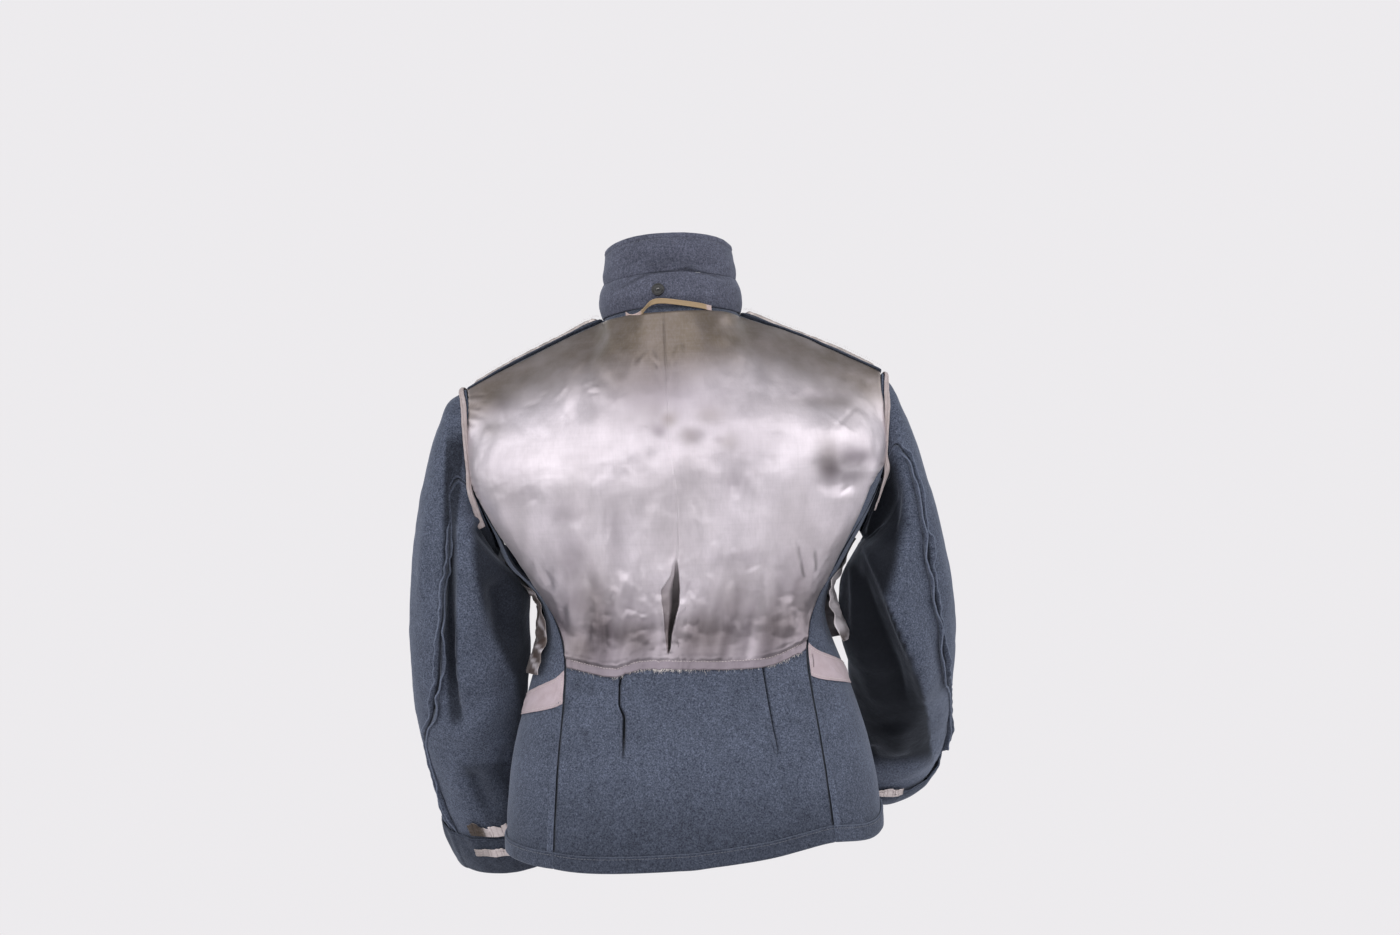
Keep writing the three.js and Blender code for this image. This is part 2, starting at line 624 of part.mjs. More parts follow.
// ---- Darts: pinched folds of the back panel below the lining ----
const DARTS = [
  { name: "left", top: 68, foot: 70 },
  { name: "right", top: -75, foot: -86 },
];
const DART = { from: -370, to: -448, width: 5, tip: 2, lift: 0.2 };
const rowOfZ = (z) => {
  let i = 0;
  while (i < LOWER_ROWS.length - 2 && z > LOWER_ROWS[i + 1]) i++;
  return i + (z - LOWER_ROWS[i]) / (LOWER_ROWS[i + 1] - LOWER_ROWS[i]);
};
const acrossOfX = (x, z) => (Math.sign(x) * wayToX(ring(z), Math.abs(x), true)) / seamWay(z);
for (const dart of DARTS) {
  const stations = [DART.to, LOWER_ROWS[4], LOWER_ROWS[5], DART.from];
  const rows = stations.map((z) => {
    const share = (DART.from - z) / (DART.from - DART.to);
    const middle = mix(dart.top, dart.foot, share);
    const width = z === DART.to ? DART.tip : DART.width;
    return [-0.5, 0.5].map((edge) => {
      const column = acrossToColumn(acrossOfX(middle + edge * width, z));
      const { place, normal } = onGrid(back, column, rowOfZ(z));
      return place.addScaledVector(normal, ON_WOOL + DART.lift);
    });
  });
  add(`dart_${dart.name}`, wall(rows, WOOL), wool);
}

// ---- Fronts, their satin linings, the pressed allowances and the waist tapes ----
const SIDES = [
  { name: "left", side: 1, layer: 1, liningFoot: -362, tapeTop: -364 },
  { name: "right", side: -1, layer: -1, liningFoot: -340, tapeTop: -347 },
];
const TAPE_LIFT = (WOOL + TAPE) / 2 + GAP + 0.2;
const WAIST_TAPE = { width: 33, fall: 9, lowerFall: 5, cells: 3 };
const fronts = {};
for (const { name, side, layer, liningFoot, tapeTop } of SIDES) {
  const grid = frontGrid(side, layer);
  fronts[name] = grid;
  const cells = grid.rows[0].length - 1;
  const { sideCells } = grid;
  const body = inset(grid.rows, { first: SEAM_INSET });
  body[topRow] = body[topRow].map((place, c) => {
    const down = body[topRow - 1][c].clone().sub(place);
    if (down.length() < 1e-6) return place;
    const onShoulder = grid.columns[c].across >= NECK_SHARE;
    return place.clone().addScaledVector(down.normalize(), onShoulder ? SHOULDER_FIN_BASE : SEAM_INSET);
  });
  const rows = withStandingTop(withHemTurn(body, grid.normals), [null, null, ...grid.normals], 2);
  const overlapCells = 2;
  const keep = (r, c) => {
    if (r < 2) return layer > 0 || c < cells - overlapCells;
    if (r < chestRow + 2) return true;
    if (c < sideCells) return false;
    const fin = r === rows.length - 2;
    return !fin || grid.columns[c + 1].across >= NECK_SHARE;
  };
  add(`front_${name}`, wall(rows, WOOL, { keep }), wool);

  // Lining of the front: from the side-back seam to the turned front edge.
  const foot = LOWER_ROWS.indexOf(liningFoot);
  const lastColumn = cells - 5;
  const lined = lay(grid, whole(0, lastColumn), whole(foot, topRow), ON_FRONT);
  const lining = inset(lined, { first: 1.5, top: LINING_TOP });
  const yokeCells = chestRow - foot;
  const armholeEdge = sideCells;
  for (let c = 0; c < armholeEdge; c++) {
    const [edge, below] = [lining[yokeCells][c], lining[yokeCells - 1][c]];
    edge.addScaledVector(below.clone().sub(edge).normalize(), LINING_ARMHOLE);
  }
  for (let r = yokeCells + 1; r < lining.length; r++) {
    const [edge, next] = [lining[r][armholeEdge], lining[r][armholeEdge + 1]];
    edge.addScaledVector(next.clone().sub(edge).normalize(), LINING_ARMHOLE);
  }
  const keepLining = (r, c) => r < yokeCells || c >= armholeEdge;
  add(`front_lining_${name}`, wall(lining, SATIN, { keep: keepLining }), satin);

  // Allowance of the side-back seam, pressed forwards on the front panel.
  const strip = inset(lay(grid, [0, 0.4], whole(rowOfZ(-541), rowOfZ(-402)), WOOL + GAP + 0.1), { first: 1 });
  const edge = strip.map(([first, second]) => {
    const way = second.clone().sub(first).normalize();
    return [first, first.clone().addScaledVector(way, ALLOWANCE)];
  });
  add(`seam_allowance_${name}`, wall(edge, WOOL), wool);

  // Cotton tape from the side-back seam round the side, falling towards the front.
  const upperEdge = (column) => rowAt(grid, column, tapeTop - WAIST_TAPE.fall * column);
  const lowerEdge = (column) => rowAt(grid, column, tapeTop - WAIST_TAPE.width - WAIST_TAPE.lowerFall * column);
  const tape = inset(lay(grid, whole(0, WAIST_TAPE.cells), [lowerEdge, upperEdge], TAPE_LIFT), { first: 2 });
  add(`waist_tape_${name}`, wall(tape, TAPE), cotton);
}

// ---- Buttons of the closed front, on its inner side because the blouse is inside out ----
const BUTTON = { radius: 8.5, thick: 3, hole: 1.1, apart: 4, heights: [-105, -195, -285, -375, -465] };

function buttonGeometry(radius, thick) {
  const outline = new THREE.Shape().absarc(0, 0, radius, 0, Math.PI * 2, false);
  for (const side of [-1, 1]) {
    const hole = new THREE.Path().absarc((side * BUTTON.apart) / 2, 0, BUTTON.hole, 0, Math.PI * 2, true);
    outline.holes.push(hole);
  }
  return new THREE.ExtrudeGeometry(outline, { depth: thick, bevelEnabled: false, curveSegments: 7 });
}

BUTTON.heights.forEach((height, i) => {
  const grid = fronts.right;
  const column = grid.columns.findIndex((one) => one.across === 0);
  const { place, normal } = onGrid(grid, column, rowAt(grid, column, height));
  const inwards = normal.clone().negate();
  const disc = new THREE.CylinderGeometry(BUTTON.radius, BUTTON.radius, BUTTON.thick, 16);
  const button = add(`front_button_${i + 1}`, disc, horn);
  button.quaternion.setFromUnitVectors(point(0, 1, 0), inwards);
  button.position.copy(place).addScaledVector(inwards, (WOOL + BUTTON.thick) / 2 + GAP);
});

// ---- Collar: stand, and fall turned up over it ----
function collarPoint(turn, { height, size, lean }) {
  const seam = neckLine(Math.abs(turn) * 2);
  const seat = 0.7 + 1.3 * Math.sin(Math.PI * Math.abs(turn)) + 1.4 * turn ** 4;
  return point(Math.sign(turn || 1) * seam.x * size, seam.y * size - lean, seam.z + seat + height);
}

function collarGrid(profile, cells, end) {
  const turns = Array.from({ length: cells + 1 }, (_, i) => mix(-end, end, i / cells));
  const rows = profile.map((row) => turns.map((turn) => collarPoint(turn, row)));
  return { rows, normals: outwardNormals(rows, (r) => point(0, -5, rows[r][cells / 2].z)) };
}

const stand = collarGrid(COLLAR_STAND, 22, COLLAR_END);
const fall = collarGrid(COLLAR_FALL, 22, COLLAR_END);
add("collar_stand", wall(stand.rows, WOOL), woolCollar);
add("collar_fall", wall(fall.rows, WOOL), woolCollar);

// ---- Button on the collar stand at centre back ----
{
  const { place, normal } = onGrid(stand, 10.4, 1.45);
  const stud = add("collar_button", buttonGeometry(6.5, 3), horn);
  stud.quaternion.setFromUnitVectors(point(0, 0, 1), normal);
  stud.position.copy(place).addScaledVector(normal, WOOL / 2 + GAP);
}

// ---- Hanger loop along the neck seam, slack in the middle ----
const HANGER = { from: 46, to: -41, width: 6, thick: 1.5, cells: 8, ends: 1.5, middle: 9, off: 5.6 };
{
  const stations = Array.from({ length: HANGER.cells + 1 }, (_, i) => i / HANGER.cells);
  const rows = [-0.5, 0.5].map((edge) =>
    stations.map((share) => {
      const x = mix(HANGER.from, HANGER.to, share);
      const seamY = NECK.back * Math.sqrt(1 - (x / NECK.half) ** 2);
      const arch = Math.sin(Math.PI * share);
      const z = mix(HANGER.ends, HANGER.middle, arch ** 0.7) + edge * HANGER.width;
      return point(x, seamY + HANGER.off + 1.5 * arch, z);
    }),
  );
  add("hanger_loop", wall(rows, HANGER.thick), tanTape);
}

// ---- Sleeves ----
// Points round an armhole; turn 0 at the shoulder, 0.5 under the arm, the back first.
function armholeLoop(side) {
  const front = fronts[side > 0 ? "left" : "right"];
  const edge = side > 0 ? back.columns.length - 1 : 0;
  const behind = back.rows.slice(chestRow).map((row) => row[edge]).reverse();
  const before = front.rows.slice(chestRow).map((row) => row[front.sideCells]).reverse();
  const under = front.rows[chestRow].slice(0, front.sideCells + 1);
  const lowest = Math.round(front.sideCells / 2);
  const halves = [
    [...behind, ...under.slice(1, lowest + 1)],
    [...before, ...under.slice(lowest, -1).reverse()],
  ];
  return halves.map((places) => new THREE.CatmullRomCurve3(places));
}

function sleevePoint(side, loop, along, turn) {
  const round = ((turn % 1) + 1) % 1;
  const table = side > 0 ? SLEEVE_LEFT : SLEEVE_RIGHT;
  const row = along * table.length - 1;
  const rows = table.map((values, i) => ({ ...values, row: i }));
  const section = readTable(rows, "row", Math.max(row, 0));
  const angle = 2 * Math.PI * round;
  const tilt = (section.tilt * Math.PI) / 180;
  const middle = point((section.outX + section.inX) / 2, section.y, (section.outZ + section.inZ) / 2);
  const across = point((section.outX - section.inX) / 2, 0, (section.outZ - section.inZ) / 2);
  const deep = point(0, Math.cos(tilt), -Math.sin(tilt)).multiplyScalar(section.deep);
  const [cosine, sine] = [Math.cos(angle), Math.sin(angle)];
  const folds = side > 0 ? SLEEVE_FOLDS_LEFT : SLEEVE_FOLDS_RIGHT;
  const rise = folds.reduce(
    (sum, fold) => sum + fold.rise * bump(along - fold.along, fold.reach) * bump(round - fold.round, fold.spread),
    0,
  );
  const place = middle.clone().addScaledVector(across, cosine).addScaledVector(deep, sine);
  place.x += section.bow * sine * sine;
  place.addScaledVector(place.clone().sub(middle).normalize(), rise);
  if (row < 0) {
    const half = round <= 0.5 ? loop[0] : loop[1];
    const start = half.getPointAt(round <= 0.5 ? 2 * round : 2 * (1 - round));
    const under = ((1 - Math.cos(2 * Math.PI * round)) / 2) ** 2;
    start.x = Math.abs(start.x) + ARMHOLE_STEP + ARMHOLE_UNDER_STEP * under;
    place.lerp(start, -row);
  }
  clearOfTorso(place);
  return point(side * place.x, place.y, place.z);
}

// Pushes a sleeve's point out where it would press into the body of the blouse.
function clearOfTorso(place) {
  if (place.z > CHEST - ARMHOLE_DROP - 12) return;
  const size = readTable(TORSO, "z", place.z);
  const power = 2 / size.square;
  const depth = (place.y > 0 ? size.back : size.front) + BODY_CLEARANCE;
  const inside = (place.x / (size.half + BODY_CLEARANCE)) ** power + (Math.abs(place.y) / depth) ** power;
  if (inside < 1) {
    const grow = inside ** (-1 / power);
    place.x *= grow;
    place.y *= grow;
  }
}

for (const { name, side } of SIDES) {
  const loop = armholeLoop(side);
  const hindColumn = side > 0 ? "hindLeft" : "hindRight";
  const stations = [0, BINDING_SHARE];
  for (let i = 1; i <= SLEEVE_CELLS; i++) stations.push(i / SLEEVE_CELLS);
  const rows = stations.map((along) => {
    const seams = readTable(SLEEVE_SEAMS, "along", along);
    const hind = seams[hindColumn];
    const turns = [];
    for (let i = 0; i < UNDER_CELLS; i++) turns.push(mix(hind, seams.fore, i / UNDER_CELLS));
    for (let i = 0; i <= UPPER_CELLS; i++) turns.push(mix(seams.fore, hind + 1, i / UPPER_CELLS));
    return turns.map((turn) => sleevePoint(side, loop, along, turn));
  });
  const centres = rows.map((row) => {
    const sum = row.slice(0, -1).reduce((total, place) => total.add(place), point(0, 0, 0));
    return sum.divideScalar(row.length - 1);
  });
  const open = rows.map((row) => row.slice(0, -1));
  const normals = outwardNormals(open, (r) => centres[r], { closed: true }).map((row) => [...row, row[0].clone()]);
  const grid = { rows, normals };

  // Each half has its seam allowances standing outwards, wavy, the two of a seam apart.
  const halfSleeve = (from, to) => {
    const part = rows.map((row) => row.slice(from, to + 1));
    const body = inset(part, { first: SLEEVE_FIN_BASE, last: SLEEVE_FIN_BASE });
    const end = to - from;
    return body.map((row, r) => {
      const fin = (edge, next, column, wave) => {
        const away = next.clone().sub(edge).normalize();
        const lean = 2.6 + 1.2 * Math.sin(r * 2.1 + wave);
        const height = ALLOWANCE * (column === UNDER_CELLS ? 0.75 : 1);
        return edge.clone().addScaledVector(normals[r][column], height).addScaledVector(away, lean);
      };
      return [fin(row[0], row[1], from, from), ...row, fin(row[end], row[end - 1], to, from + 1)];
    });
  };
  const lastRow = stations.length - 1;
  const facedFrom = lastRow - 2;
  const keepHalf = (cells) => (r, c) => (c > 0 && c < cells - 1) || (r >= 2 && r < facedFrom);
  const under = halfSleeve(0, UNDER_CELLS);
  const upper = halfSleeve(UNDER_CELLS, UNDER_CELLS + UPPER_CELLS);
  add(`sleeve_under_${name}`, wall(under, WOOL, { keep: keepHalf(UNDER_CELLS + 2) }), wool);
  add(`sleeve_upper_${name}`, wall(upper, WOOL, { keep: keepHalf(UPPER_CELLS + 2) }), wool);

  // Facing of the cuff, turned outwards and up round the sleeve's end.
  const rowLength = rows[lastRow][0].distanceTo(rows[lastRow - 1][0]);
  const facingRows = whole(lastRow - CUFF_FACING / rowLength, lastRow);
  const facing = lay(grid, whole(0, UNDER_CELLS + UPPER_CELLS - 1), facingRows, WOOL + GAP + 0.6);
  add(`cuff_facing_${name}`, wall(facing, WOOL, { closed: true }), wool);

  // Satin left on the facing's upper edge, at the back of the cuff.
  const scrap = lay(grid, whole(0.6, 2.9), [lastRow - CUFF_FACING / rowLength + 0.1, lastRow - 0.55], 2 * WOOL + GAP + 0.6);
  add(`cuff_lining_${name}`, wall(scrap, SATIN), satin);

  // Cotton binding of the armhole seam, over the shoulder from under the arm to under the arm.
  const cells = UNDER_CELLS + UPPER_CELLS;
  const band = [];
  for (let c = UNDER_CELLS + 1; c <= cells + 2; c++) {
    const column = c % cells;
    const [start, next] = [rows[0][column], rows[1][column]];
    const share = Math.min(1, BINDING_WIDTH / start.distanceTo(next));
    const end = start.clone().lerp(next, share);
    const lift = WOOL / 2 + GAP + TAPE / 2 + 0.6;
    const endNormal = normals[0][column].clone().lerp(normals[1][column], share).normalize();
    band.push([
      start.clone().addScaledVector(normals[0][column], lift),
      end.addScaledVector(endNormal, lift),
    ]);
  }
  add(`armhole_binding_${name}`, wall(band, TAPE), cotton);
}

export default blouse;
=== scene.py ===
import bpy
import math
from functools import cache
import numpy as np
from mathutils import Matrix, Vector, noise


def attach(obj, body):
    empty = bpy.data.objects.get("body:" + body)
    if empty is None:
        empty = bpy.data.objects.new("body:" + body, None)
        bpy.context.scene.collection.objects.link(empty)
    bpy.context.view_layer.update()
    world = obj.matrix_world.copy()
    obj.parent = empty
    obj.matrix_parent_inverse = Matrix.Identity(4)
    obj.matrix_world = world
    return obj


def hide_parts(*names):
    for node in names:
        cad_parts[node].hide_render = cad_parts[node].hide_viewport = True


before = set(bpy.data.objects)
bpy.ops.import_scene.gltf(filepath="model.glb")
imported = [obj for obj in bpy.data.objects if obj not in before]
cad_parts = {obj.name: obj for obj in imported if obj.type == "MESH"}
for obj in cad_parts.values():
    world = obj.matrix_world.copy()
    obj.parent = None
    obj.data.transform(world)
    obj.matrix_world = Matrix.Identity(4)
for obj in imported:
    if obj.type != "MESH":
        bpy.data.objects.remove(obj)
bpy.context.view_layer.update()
bpy.ops.object.select_all(action="DESELECT")
bpy.context.scene.view_settings.view_transform = "Standard"


# ---- Room ----
# A pale floor well below the hanging blouse, a pale surrounding and seven soft lights. The camera
# stands behind the wearer's back, a little above the waist, and leans by a small roll.
FLOOR_LEVEL = -1.3
FLOOR_RADIUS = 2.3
FLOOR_COLOUR = (0.80, 0.79, 0.80, 1)
WALL_COLOUR = (0.845, 0.83, 0.85, 1)
ROOM_COLOUR = (0.93, 0.96, 1.0, 1)
# The room is brightest at eye level and dim above and below: share of the way up, strength.
ROOM = [
    (0, 0.07), (0.34, 0.10), (0.44, 0.24), (0.52, 0.5), (0.62, 0.66), (0.75, 0.55), (0.88, 0.28), (1, 0.18),
]
# Place, size and power of each soft light; all of them face the middle of the blouse.
LIGHTS = [
    ("light_behind_camera", (0.2, 3.0, 0.75), (5.4, 2.3), 60),
    ("light_left_side", (2.4, 0.8, 0.55), (3.0, 2.3), 29),
    ("light_right_side", (-2.5, 0.7, 0.55), (3.0, 2.3), 40),
    ("light_front", (0.4, -2.8, 0.3), (2.0, 1.6), 26),
    ("light_above", (0.2, 1.3, 2.3), (1.8, 1.6), 18),
    ("light_low_left", (1.25, 2.5, -0.95), (0.45, 0.8), 2.6),
    ("light_low_right", (-1.1, 2.6, -0.9), (0.4, 0.7), 1.9),
]
LIGHT_AIM = Vector((0, 0, -0.25))
CAMERA_PLACE = (-0.023, 2.3, -0.162)
CAMERA_ROLL = math.radians(2.6)
CAMERA_LENS = 56.06
CAMERA_SENSOR = 36


def add_node(tree, kind, inputs=(), **settings):
    """Adds a node; each input is set to a value, or joined to an output of another node."""
    node = tree.nodes.new("ShaderNode" + kind)
    for setting, value in settings.items():
        setattr(node, setting, value)
    for socket, value in dict(inputs).items():
        if isinstance(value, bpy.types.NodeSocket):
            tree.links.new(value, node.inputs[socket])
        else:
            node.inputs[socket].default_value = value
    return node


class Paint:
    """A material in the making: its shader, and the few kinds of node that the looks are made of."""

    def __init__(self, name, settings):
        self.material = bpy.data.materials.new(name)
        self.material.use_nodes = True
        self.tree = self.material.node_tree
        self.shader = self.tree.nodes["Principled BSDF"]
        for socket, value in settings.items():
            self.shader.inputs[socket].default_value = value

    def node(self, kind, inputs=(), **settings):
        return add_node(self.tree, kind, inputs, **settings)

    def lead(self, value, socket):
        """Joins a value to an input of the shader."""
        self.tree.links.new(value, self.shader.inputs[socket])

    def place(self):
        return self.node("TexCoord").outputs["Object"]

    def clouds(self, scale, detail, stretch=(1, 1, 1), shift=(0, 0, 0), turn=(0, 0, 0), rough=0.5):
        """Uneven clouds through the cloth; stretch below 1 draws them out along an axis."""
        inputs = {"Vector": self.place(), "Location": shift, "Scale": stretch, "Rotation": turn}
        way = self.node("Mapping", inputs).outputs["Vector"]
        inputs = {"Vector": way, "Scale": scale, "Detail": detail, "Roughness": rough}
        return self.node("TexNoise", inputs).outputs["Fac"]

    def spread(self, value, low, high, first, last):
        """Takes the values from low to high to values from first to last."""
        inputs = {"Value": value, "From Min": low, "From Max": high, "To Min": first, "To Max": last}
        return self.node("MapRange", inputs).outputs["Result"]

    def blended(self, share, first, second, kind="MIX"):
        """The first colour with a share of the second in it."""
        colours = [(*colour, 1) if isinstance(colour, tuple) else colour for colour in (first, second)]
        inputs = {"Factor": share, "A": colours[0], "B": colours[1]}
        return self.node("Mix", inputs, data_type="RGBA", blend_type=kind).outputs["Result"]

    def marked(self, mark):
        """A named value of the mesh."""
        return self.node("Attribute", attribute_name=mark).outputs["Fac"]

    def bumps(self, height, strength, distance, under=None):
        """Small relief, over other relief where that is given."""
        inputs = {"Height": height, "Strength": strength, "Distance": distance}
        if under is not None:
            inputs["Normal"] = under
        return self.node("Bump", inputs).outputs["Normal"]


def times(colour, factor):
    return tuple(min(1, part * factor) for part in colour)


def added(name, data):
    """A new object of the scene."""
    made = bpy.data.objects.new(name, data)
    bpy.context.scene.collection.objects.link(made)
    return made


bpy.ops.mesh.primitive_circle_add(
    vertices=96, radius=FLOOR_RADIUS, fill_type="NGON", location=(0, 0, FLOOR_LEVEL),
)
floor = bpy.context.active_object
floor.name = "floor"
floor.data.materials.append(Paint("floor_paper", {"Base Color": FLOOR_COLOUR, "Roughness": 0.9}).material)

world = bpy.data.worlds.new("studio")
bpy.context.scene.world = world
world.use_nodes = True
tree = world.node_tree
wall = tree.nodes["Background"]
wall.inputs["Color"].default_value = WALL_COLOUR
direction = add_node(tree, "SeparateXYZ", {"Vector": add_node(tree, "TexCoord").outputs["Generated"]})
from_below = add_node(tree, "MapRange", {"Value": direction.outputs["Z"], "From Min": -1})
brightness = add_node(tree, "ValToRGB", {"Fac": from_below.outputs["Result"]})
while len(brightness.color_ramp.elements) < len(ROOM):
    brightness.color_ramp.elements.new(0.5)
for element, (share, strength) in zip(brightness.color_ramp.elements, ROOM):
    element.position = share
    element.color = (strength, strength, strength, 1)
room = add_node(tree, "Background", {"Color": ROOM_COLOUR, "Strength": brightness.outputs["Color"]})
seen_directly = add_node(tree, "LightPath").outputs["Is Camera Ray"]
lights_or_wall = {"Fac": seen_directly, 1: room.outputs["Background"], 2: wall.outputs["Background"]}
surround = add_node(tree, "MixShader", lights_or_wall)
tree.links.new(surround.outputs["Shader"], tree.nodes["World Output"].inputs["Surface"])

for light_name, place, (wide, high), power in LIGHTS:
    lamp = bpy.data.lights.new(light_name, "AREA")
    lamp.shape = "RECTANGLE"
    lamp.size = wide
    lamp.size_y = high
    lamp.energy = power
    lamp_object = added(light_name, lamp)
    lamp_object.location = place
    lamp_object.rotation_mode = "QUATERNION"
    lamp_object.rotation_quaternion = (LIGHT_AIM - Vector(place)).to_track_quat("-Z", "Y")

camera = added("camera", bpy.data.cameras.new("camera"))
camera.data.lens = CAMERA_LENS
camera.data.sensor_width = CAMERA_SENSOR
level, lean = math.cos(CAMERA_ROLL), math.sin(CAMERA_ROLL)
camera.matrix_world = Matrix((
    (-level, -lean, 0, CAMERA_PLACE[0]),
    (0, 0, 1, CAMERA_PLACE[1]),
    (-lean, level, 0, CAMERA_PLACE[2]),
    (0, 0, 0, 1),
))
bpy.context.scene.camera = camera


# ---- Back ----
# The back of the blouse, one panel of blue-grey melange wool from the hem to the shoulders. Its hem
# is turned outwards and stitched, and its seam allowances stand up along the shoulders. Tables are in
# millimetres, as a tailor writes them; the meshes are made in metres.
MM = 0.001
WOOL = 2.2
GAP = 0.4
HEM_TURN = 13.5

# Height, half width, depth behind and before the side line, squareness of the outline.
TORSO = [
    (-566, 196, 128, 139, 0.80), (-520, 195, 125, 138, 0.80), (-470, 189, 118, 133, 0.82),
    (-428, 179, 107, 126, 0.83), (-397, 170, 98, 120, 0.84), (-362, 158, 89, 116, 0.85),
    (-340, 150, 86, 115, 0.85), (-319, 146, 86, 115, 0.85), (-298, 150, 89, 117, 0.84),
    (-277, 161, 93, 120, 0.82), (-250, 177, 98, 124, 0.79), (-236, 186, 100, 126, 0.77),
    (-205, 203, 105, 128, 0.73), (-180, 213, 109, 128, 0.71), (-150, 215, 111, 128, 0.71),
]
# Height, half distance between the side-back seams.
SIDE_BACK_SEAM = [
    (-566, 143), (-533, 141), (-447, 133), (-391, 126), (-357, 124), (-342, 125), (-318, 131),
    (-291, 144), (-271, 157), (-240, 175), (-215, 192), (-195, 203), (-180, 210),
]
# Way round (0 centre back, 1 side-back seam, 2 centre front), hem height on the left and right.
HEM_LINE = [
    (0, -560, -560), (0.5, -561, -553), (0.8, -560, -546), (1, -557, -543), (1.1, -554, -547),
    (1.2, -551, -543), (1.35, -549, -536), (2, -552, -552),
]
HEM = -560
HEM_EASES_OUT = -380
CHEST = -180
NECK_HALF, NECK_BACK, NECK_FRONT = 72, 65, 70
NECK_Z_BACK, NECK_Z_SIDE, NECK_Z_FRONT = 5, -3, -62
SHOULDER_TIP = np.array((218, 0, -69))
SHOULDER_RISE = 3
NECK_SHARE = 0.38
# Across (0 centre, 1 armhole), direction in which the panel arrives at its top: out, turn, up.
ARRIVAL = [(0, 0, 0.45, 0.9), (0.38, 0.02, 0.85, 0.5), (0.7, 0.08, 0.82, 0.55), (1, 0.22, 0.8, 0.6)]
LOWER_ROWS = [-560, -525, -490, -455, -420, -390, -362, -340, -318, -296, -272, -245, -212, -180]
YOKE_ROWS = [1 / 6, 2 / 6, 3 / 6, 4 / 6, 5 / 6, 1]
BACK_ACROSS = [0, 0.1, 0.2, 0.29, NECK_SHARE, 0.48, 0.59, 0.69, 0.79, 0.9, 1]
RING_POINTS = 161
# Where a fold ends across its run, in half widths, and the share of its run that each end tapers over.
FOLD_REACH = 3.2
FOLD_TAPER = 0.3
# How round the cut edges of cloth are, as a share of its thickness.
RIM_ROUND = 0.35
BELOW_CHEST = 6
# Points inside the body, which the cloth faces away from.
INSIDE = (0, 0, -300)
BELOW = (0, 0, -400)
CHEST_ROW = len(LOWER_ROWS) - 1
TOP_ROW = CHEST_ROW + len(YOKE_ROWS)


def hermite(a, b, da, db, t):
    ends = a * (2 * t**3 - 3 * t**2 + 1) + b * (3 * t**2 - 2 * t**3)
    return ends + da * (t**3 - 2 * t**2 + t) + db * (t**3 - t**2)


def read_table(rows, at):
    """One line of a table at a value of its first column, on a smooth curve through its lines."""
    lines = np.array(rows, float)
    last = len(lines) - 1
    at = min(max(at, lines[0, 0]), lines[last, 0])
    i = min(max(int(np.searchsorted(lines[:, 0], at)) - 1, 0), last - 1)
    span = lines[i + 1, 0] - lines[i, 0]

    def slope(row):
        low, high = lines[max(row - 1, 0)], lines[min(row + 1, last)]
        return (high - low) / (high[0] - low[0]) * span

    return hermite(lines[i], lines[i + 1], slope(i), slope(i + 1), (at - lines[i, 0]) / span)


@cache
def ring(z):
    """Half outline of the body at a height, from centre back to centre front, with the way along it."""
    _, half, behind, before, square = read_table(TORSO, z)
    angle = np.linspace(0, np.pi, RING_POINTS)
    x = half * np.abs(np.sin(angle)) ** square
    y = np.where(np.cos(angle) > 0, behind, -before) * np.abs(np.cos(angle)) ** square
    x[-1] = 0
    way = np.concatenate([[0], np.cumsum(np.hypot(np.diff(x), np.diff(y)))])
    return x, y, way


def along_ring(outline, distance):
    x, y, way = outline
    return np.interp(distance, way, x), np.interp(distance, way, y)


def way_to_x(outline, x, behind):
    xs, _, way = outline
    middle = len(xs) // 2
    if behind:
        return np.interp(x, xs[:middle + 1], way[:middle + 1])
    return np.interp(x, xs[middle:][::-1], way[middle:][::-1])


@cache
def seam_way(z):
    return way_to_x(ring(z), read_table(SIDE_BACK_SEAM, z)[1], True)


def neck_line(turn):
    """The neck seam: turn 0 at centre back, 1 at the shoulder, 2 at centre front."""
    sine, cosine = math.sin(math.pi / 2 * turn), math.cos(math.pi / 2 * turn)
    if cosine > 0:
        z = NECK_Z_SIDE + (NECK_Z_BACK - NECK_Z_SIDE) * cosine * cosine
        return np.array((NECK_HALF * sine, NECK_BACK * cosine, z))
    z = NECK_Z_SIDE + (NECK_Z_FRONT - NECK_Z_SIDE) * max(1 - sine, 0) ** 1.2
    return np.array((NECK_HALF * sine, NECK_FRONT * cosine, z))


def shoulder_line(share):
    place = neck_line(1) + (SHOULDER_TIP - neck_line(1)) * share
    return place + np.array((0, 0, SHOULDER_RISE * 4 * share * (1 - share)))


def yoke_point(chest, below, across, behind, share):
    """A column's way from the chest line up to the neck or shoulder seam."""
    if across >= NECK_SHARE:
        top = shoulder_line((across - NECK_SHARE) / (1 - NECK_SHARE))
    else:
        top = neck_line(across / NECK_SHARE if behind else 2 - across / NECK_SHARE)
    length = np.linalg.norm(chest - top)
    leave = (chest - below) / np.linalg.norm(chest - below) * length
    _, out, turn, up = read_table(ARRIVAL, across)
    land = np.array((out, -turn if behind else turn, up))
    return hermite(chest, top, leave, land / np.linalg.norm(land) * length, share)


def hem_shift(side, around, z):
    hem = read_table(HEM_LINE, around)[1 if side > 0 else 2]
    return (hem - HEM) * min(max((HEM_EASES_OUT - z) / (HEM_EASES_OUT - HEM), 0), 1)


def back_point(across, z):
    side = -1 if across < 0 else 1
    height = z + hem_shift(side, abs(across), z)
    x, y = along_ring(ring(height), abs(across) * seam_way(height))
    return np.array((side * x, y, height))


def back_column(across):
    """One column of the back panel from the hem to its top."""
    side = np.array((-1 if across < 0 else 1, 1, 1))
    column = [back_point(across, z) for z in LOWER_ROWS]
    chest, below = back_point(abs(across), CHEST), back_point(abs(across), CHEST - BELOW_CHEST)
    return column + [yoke_point(chest, below, abs(across), True, share) * side for share in YOKE_ROWS]


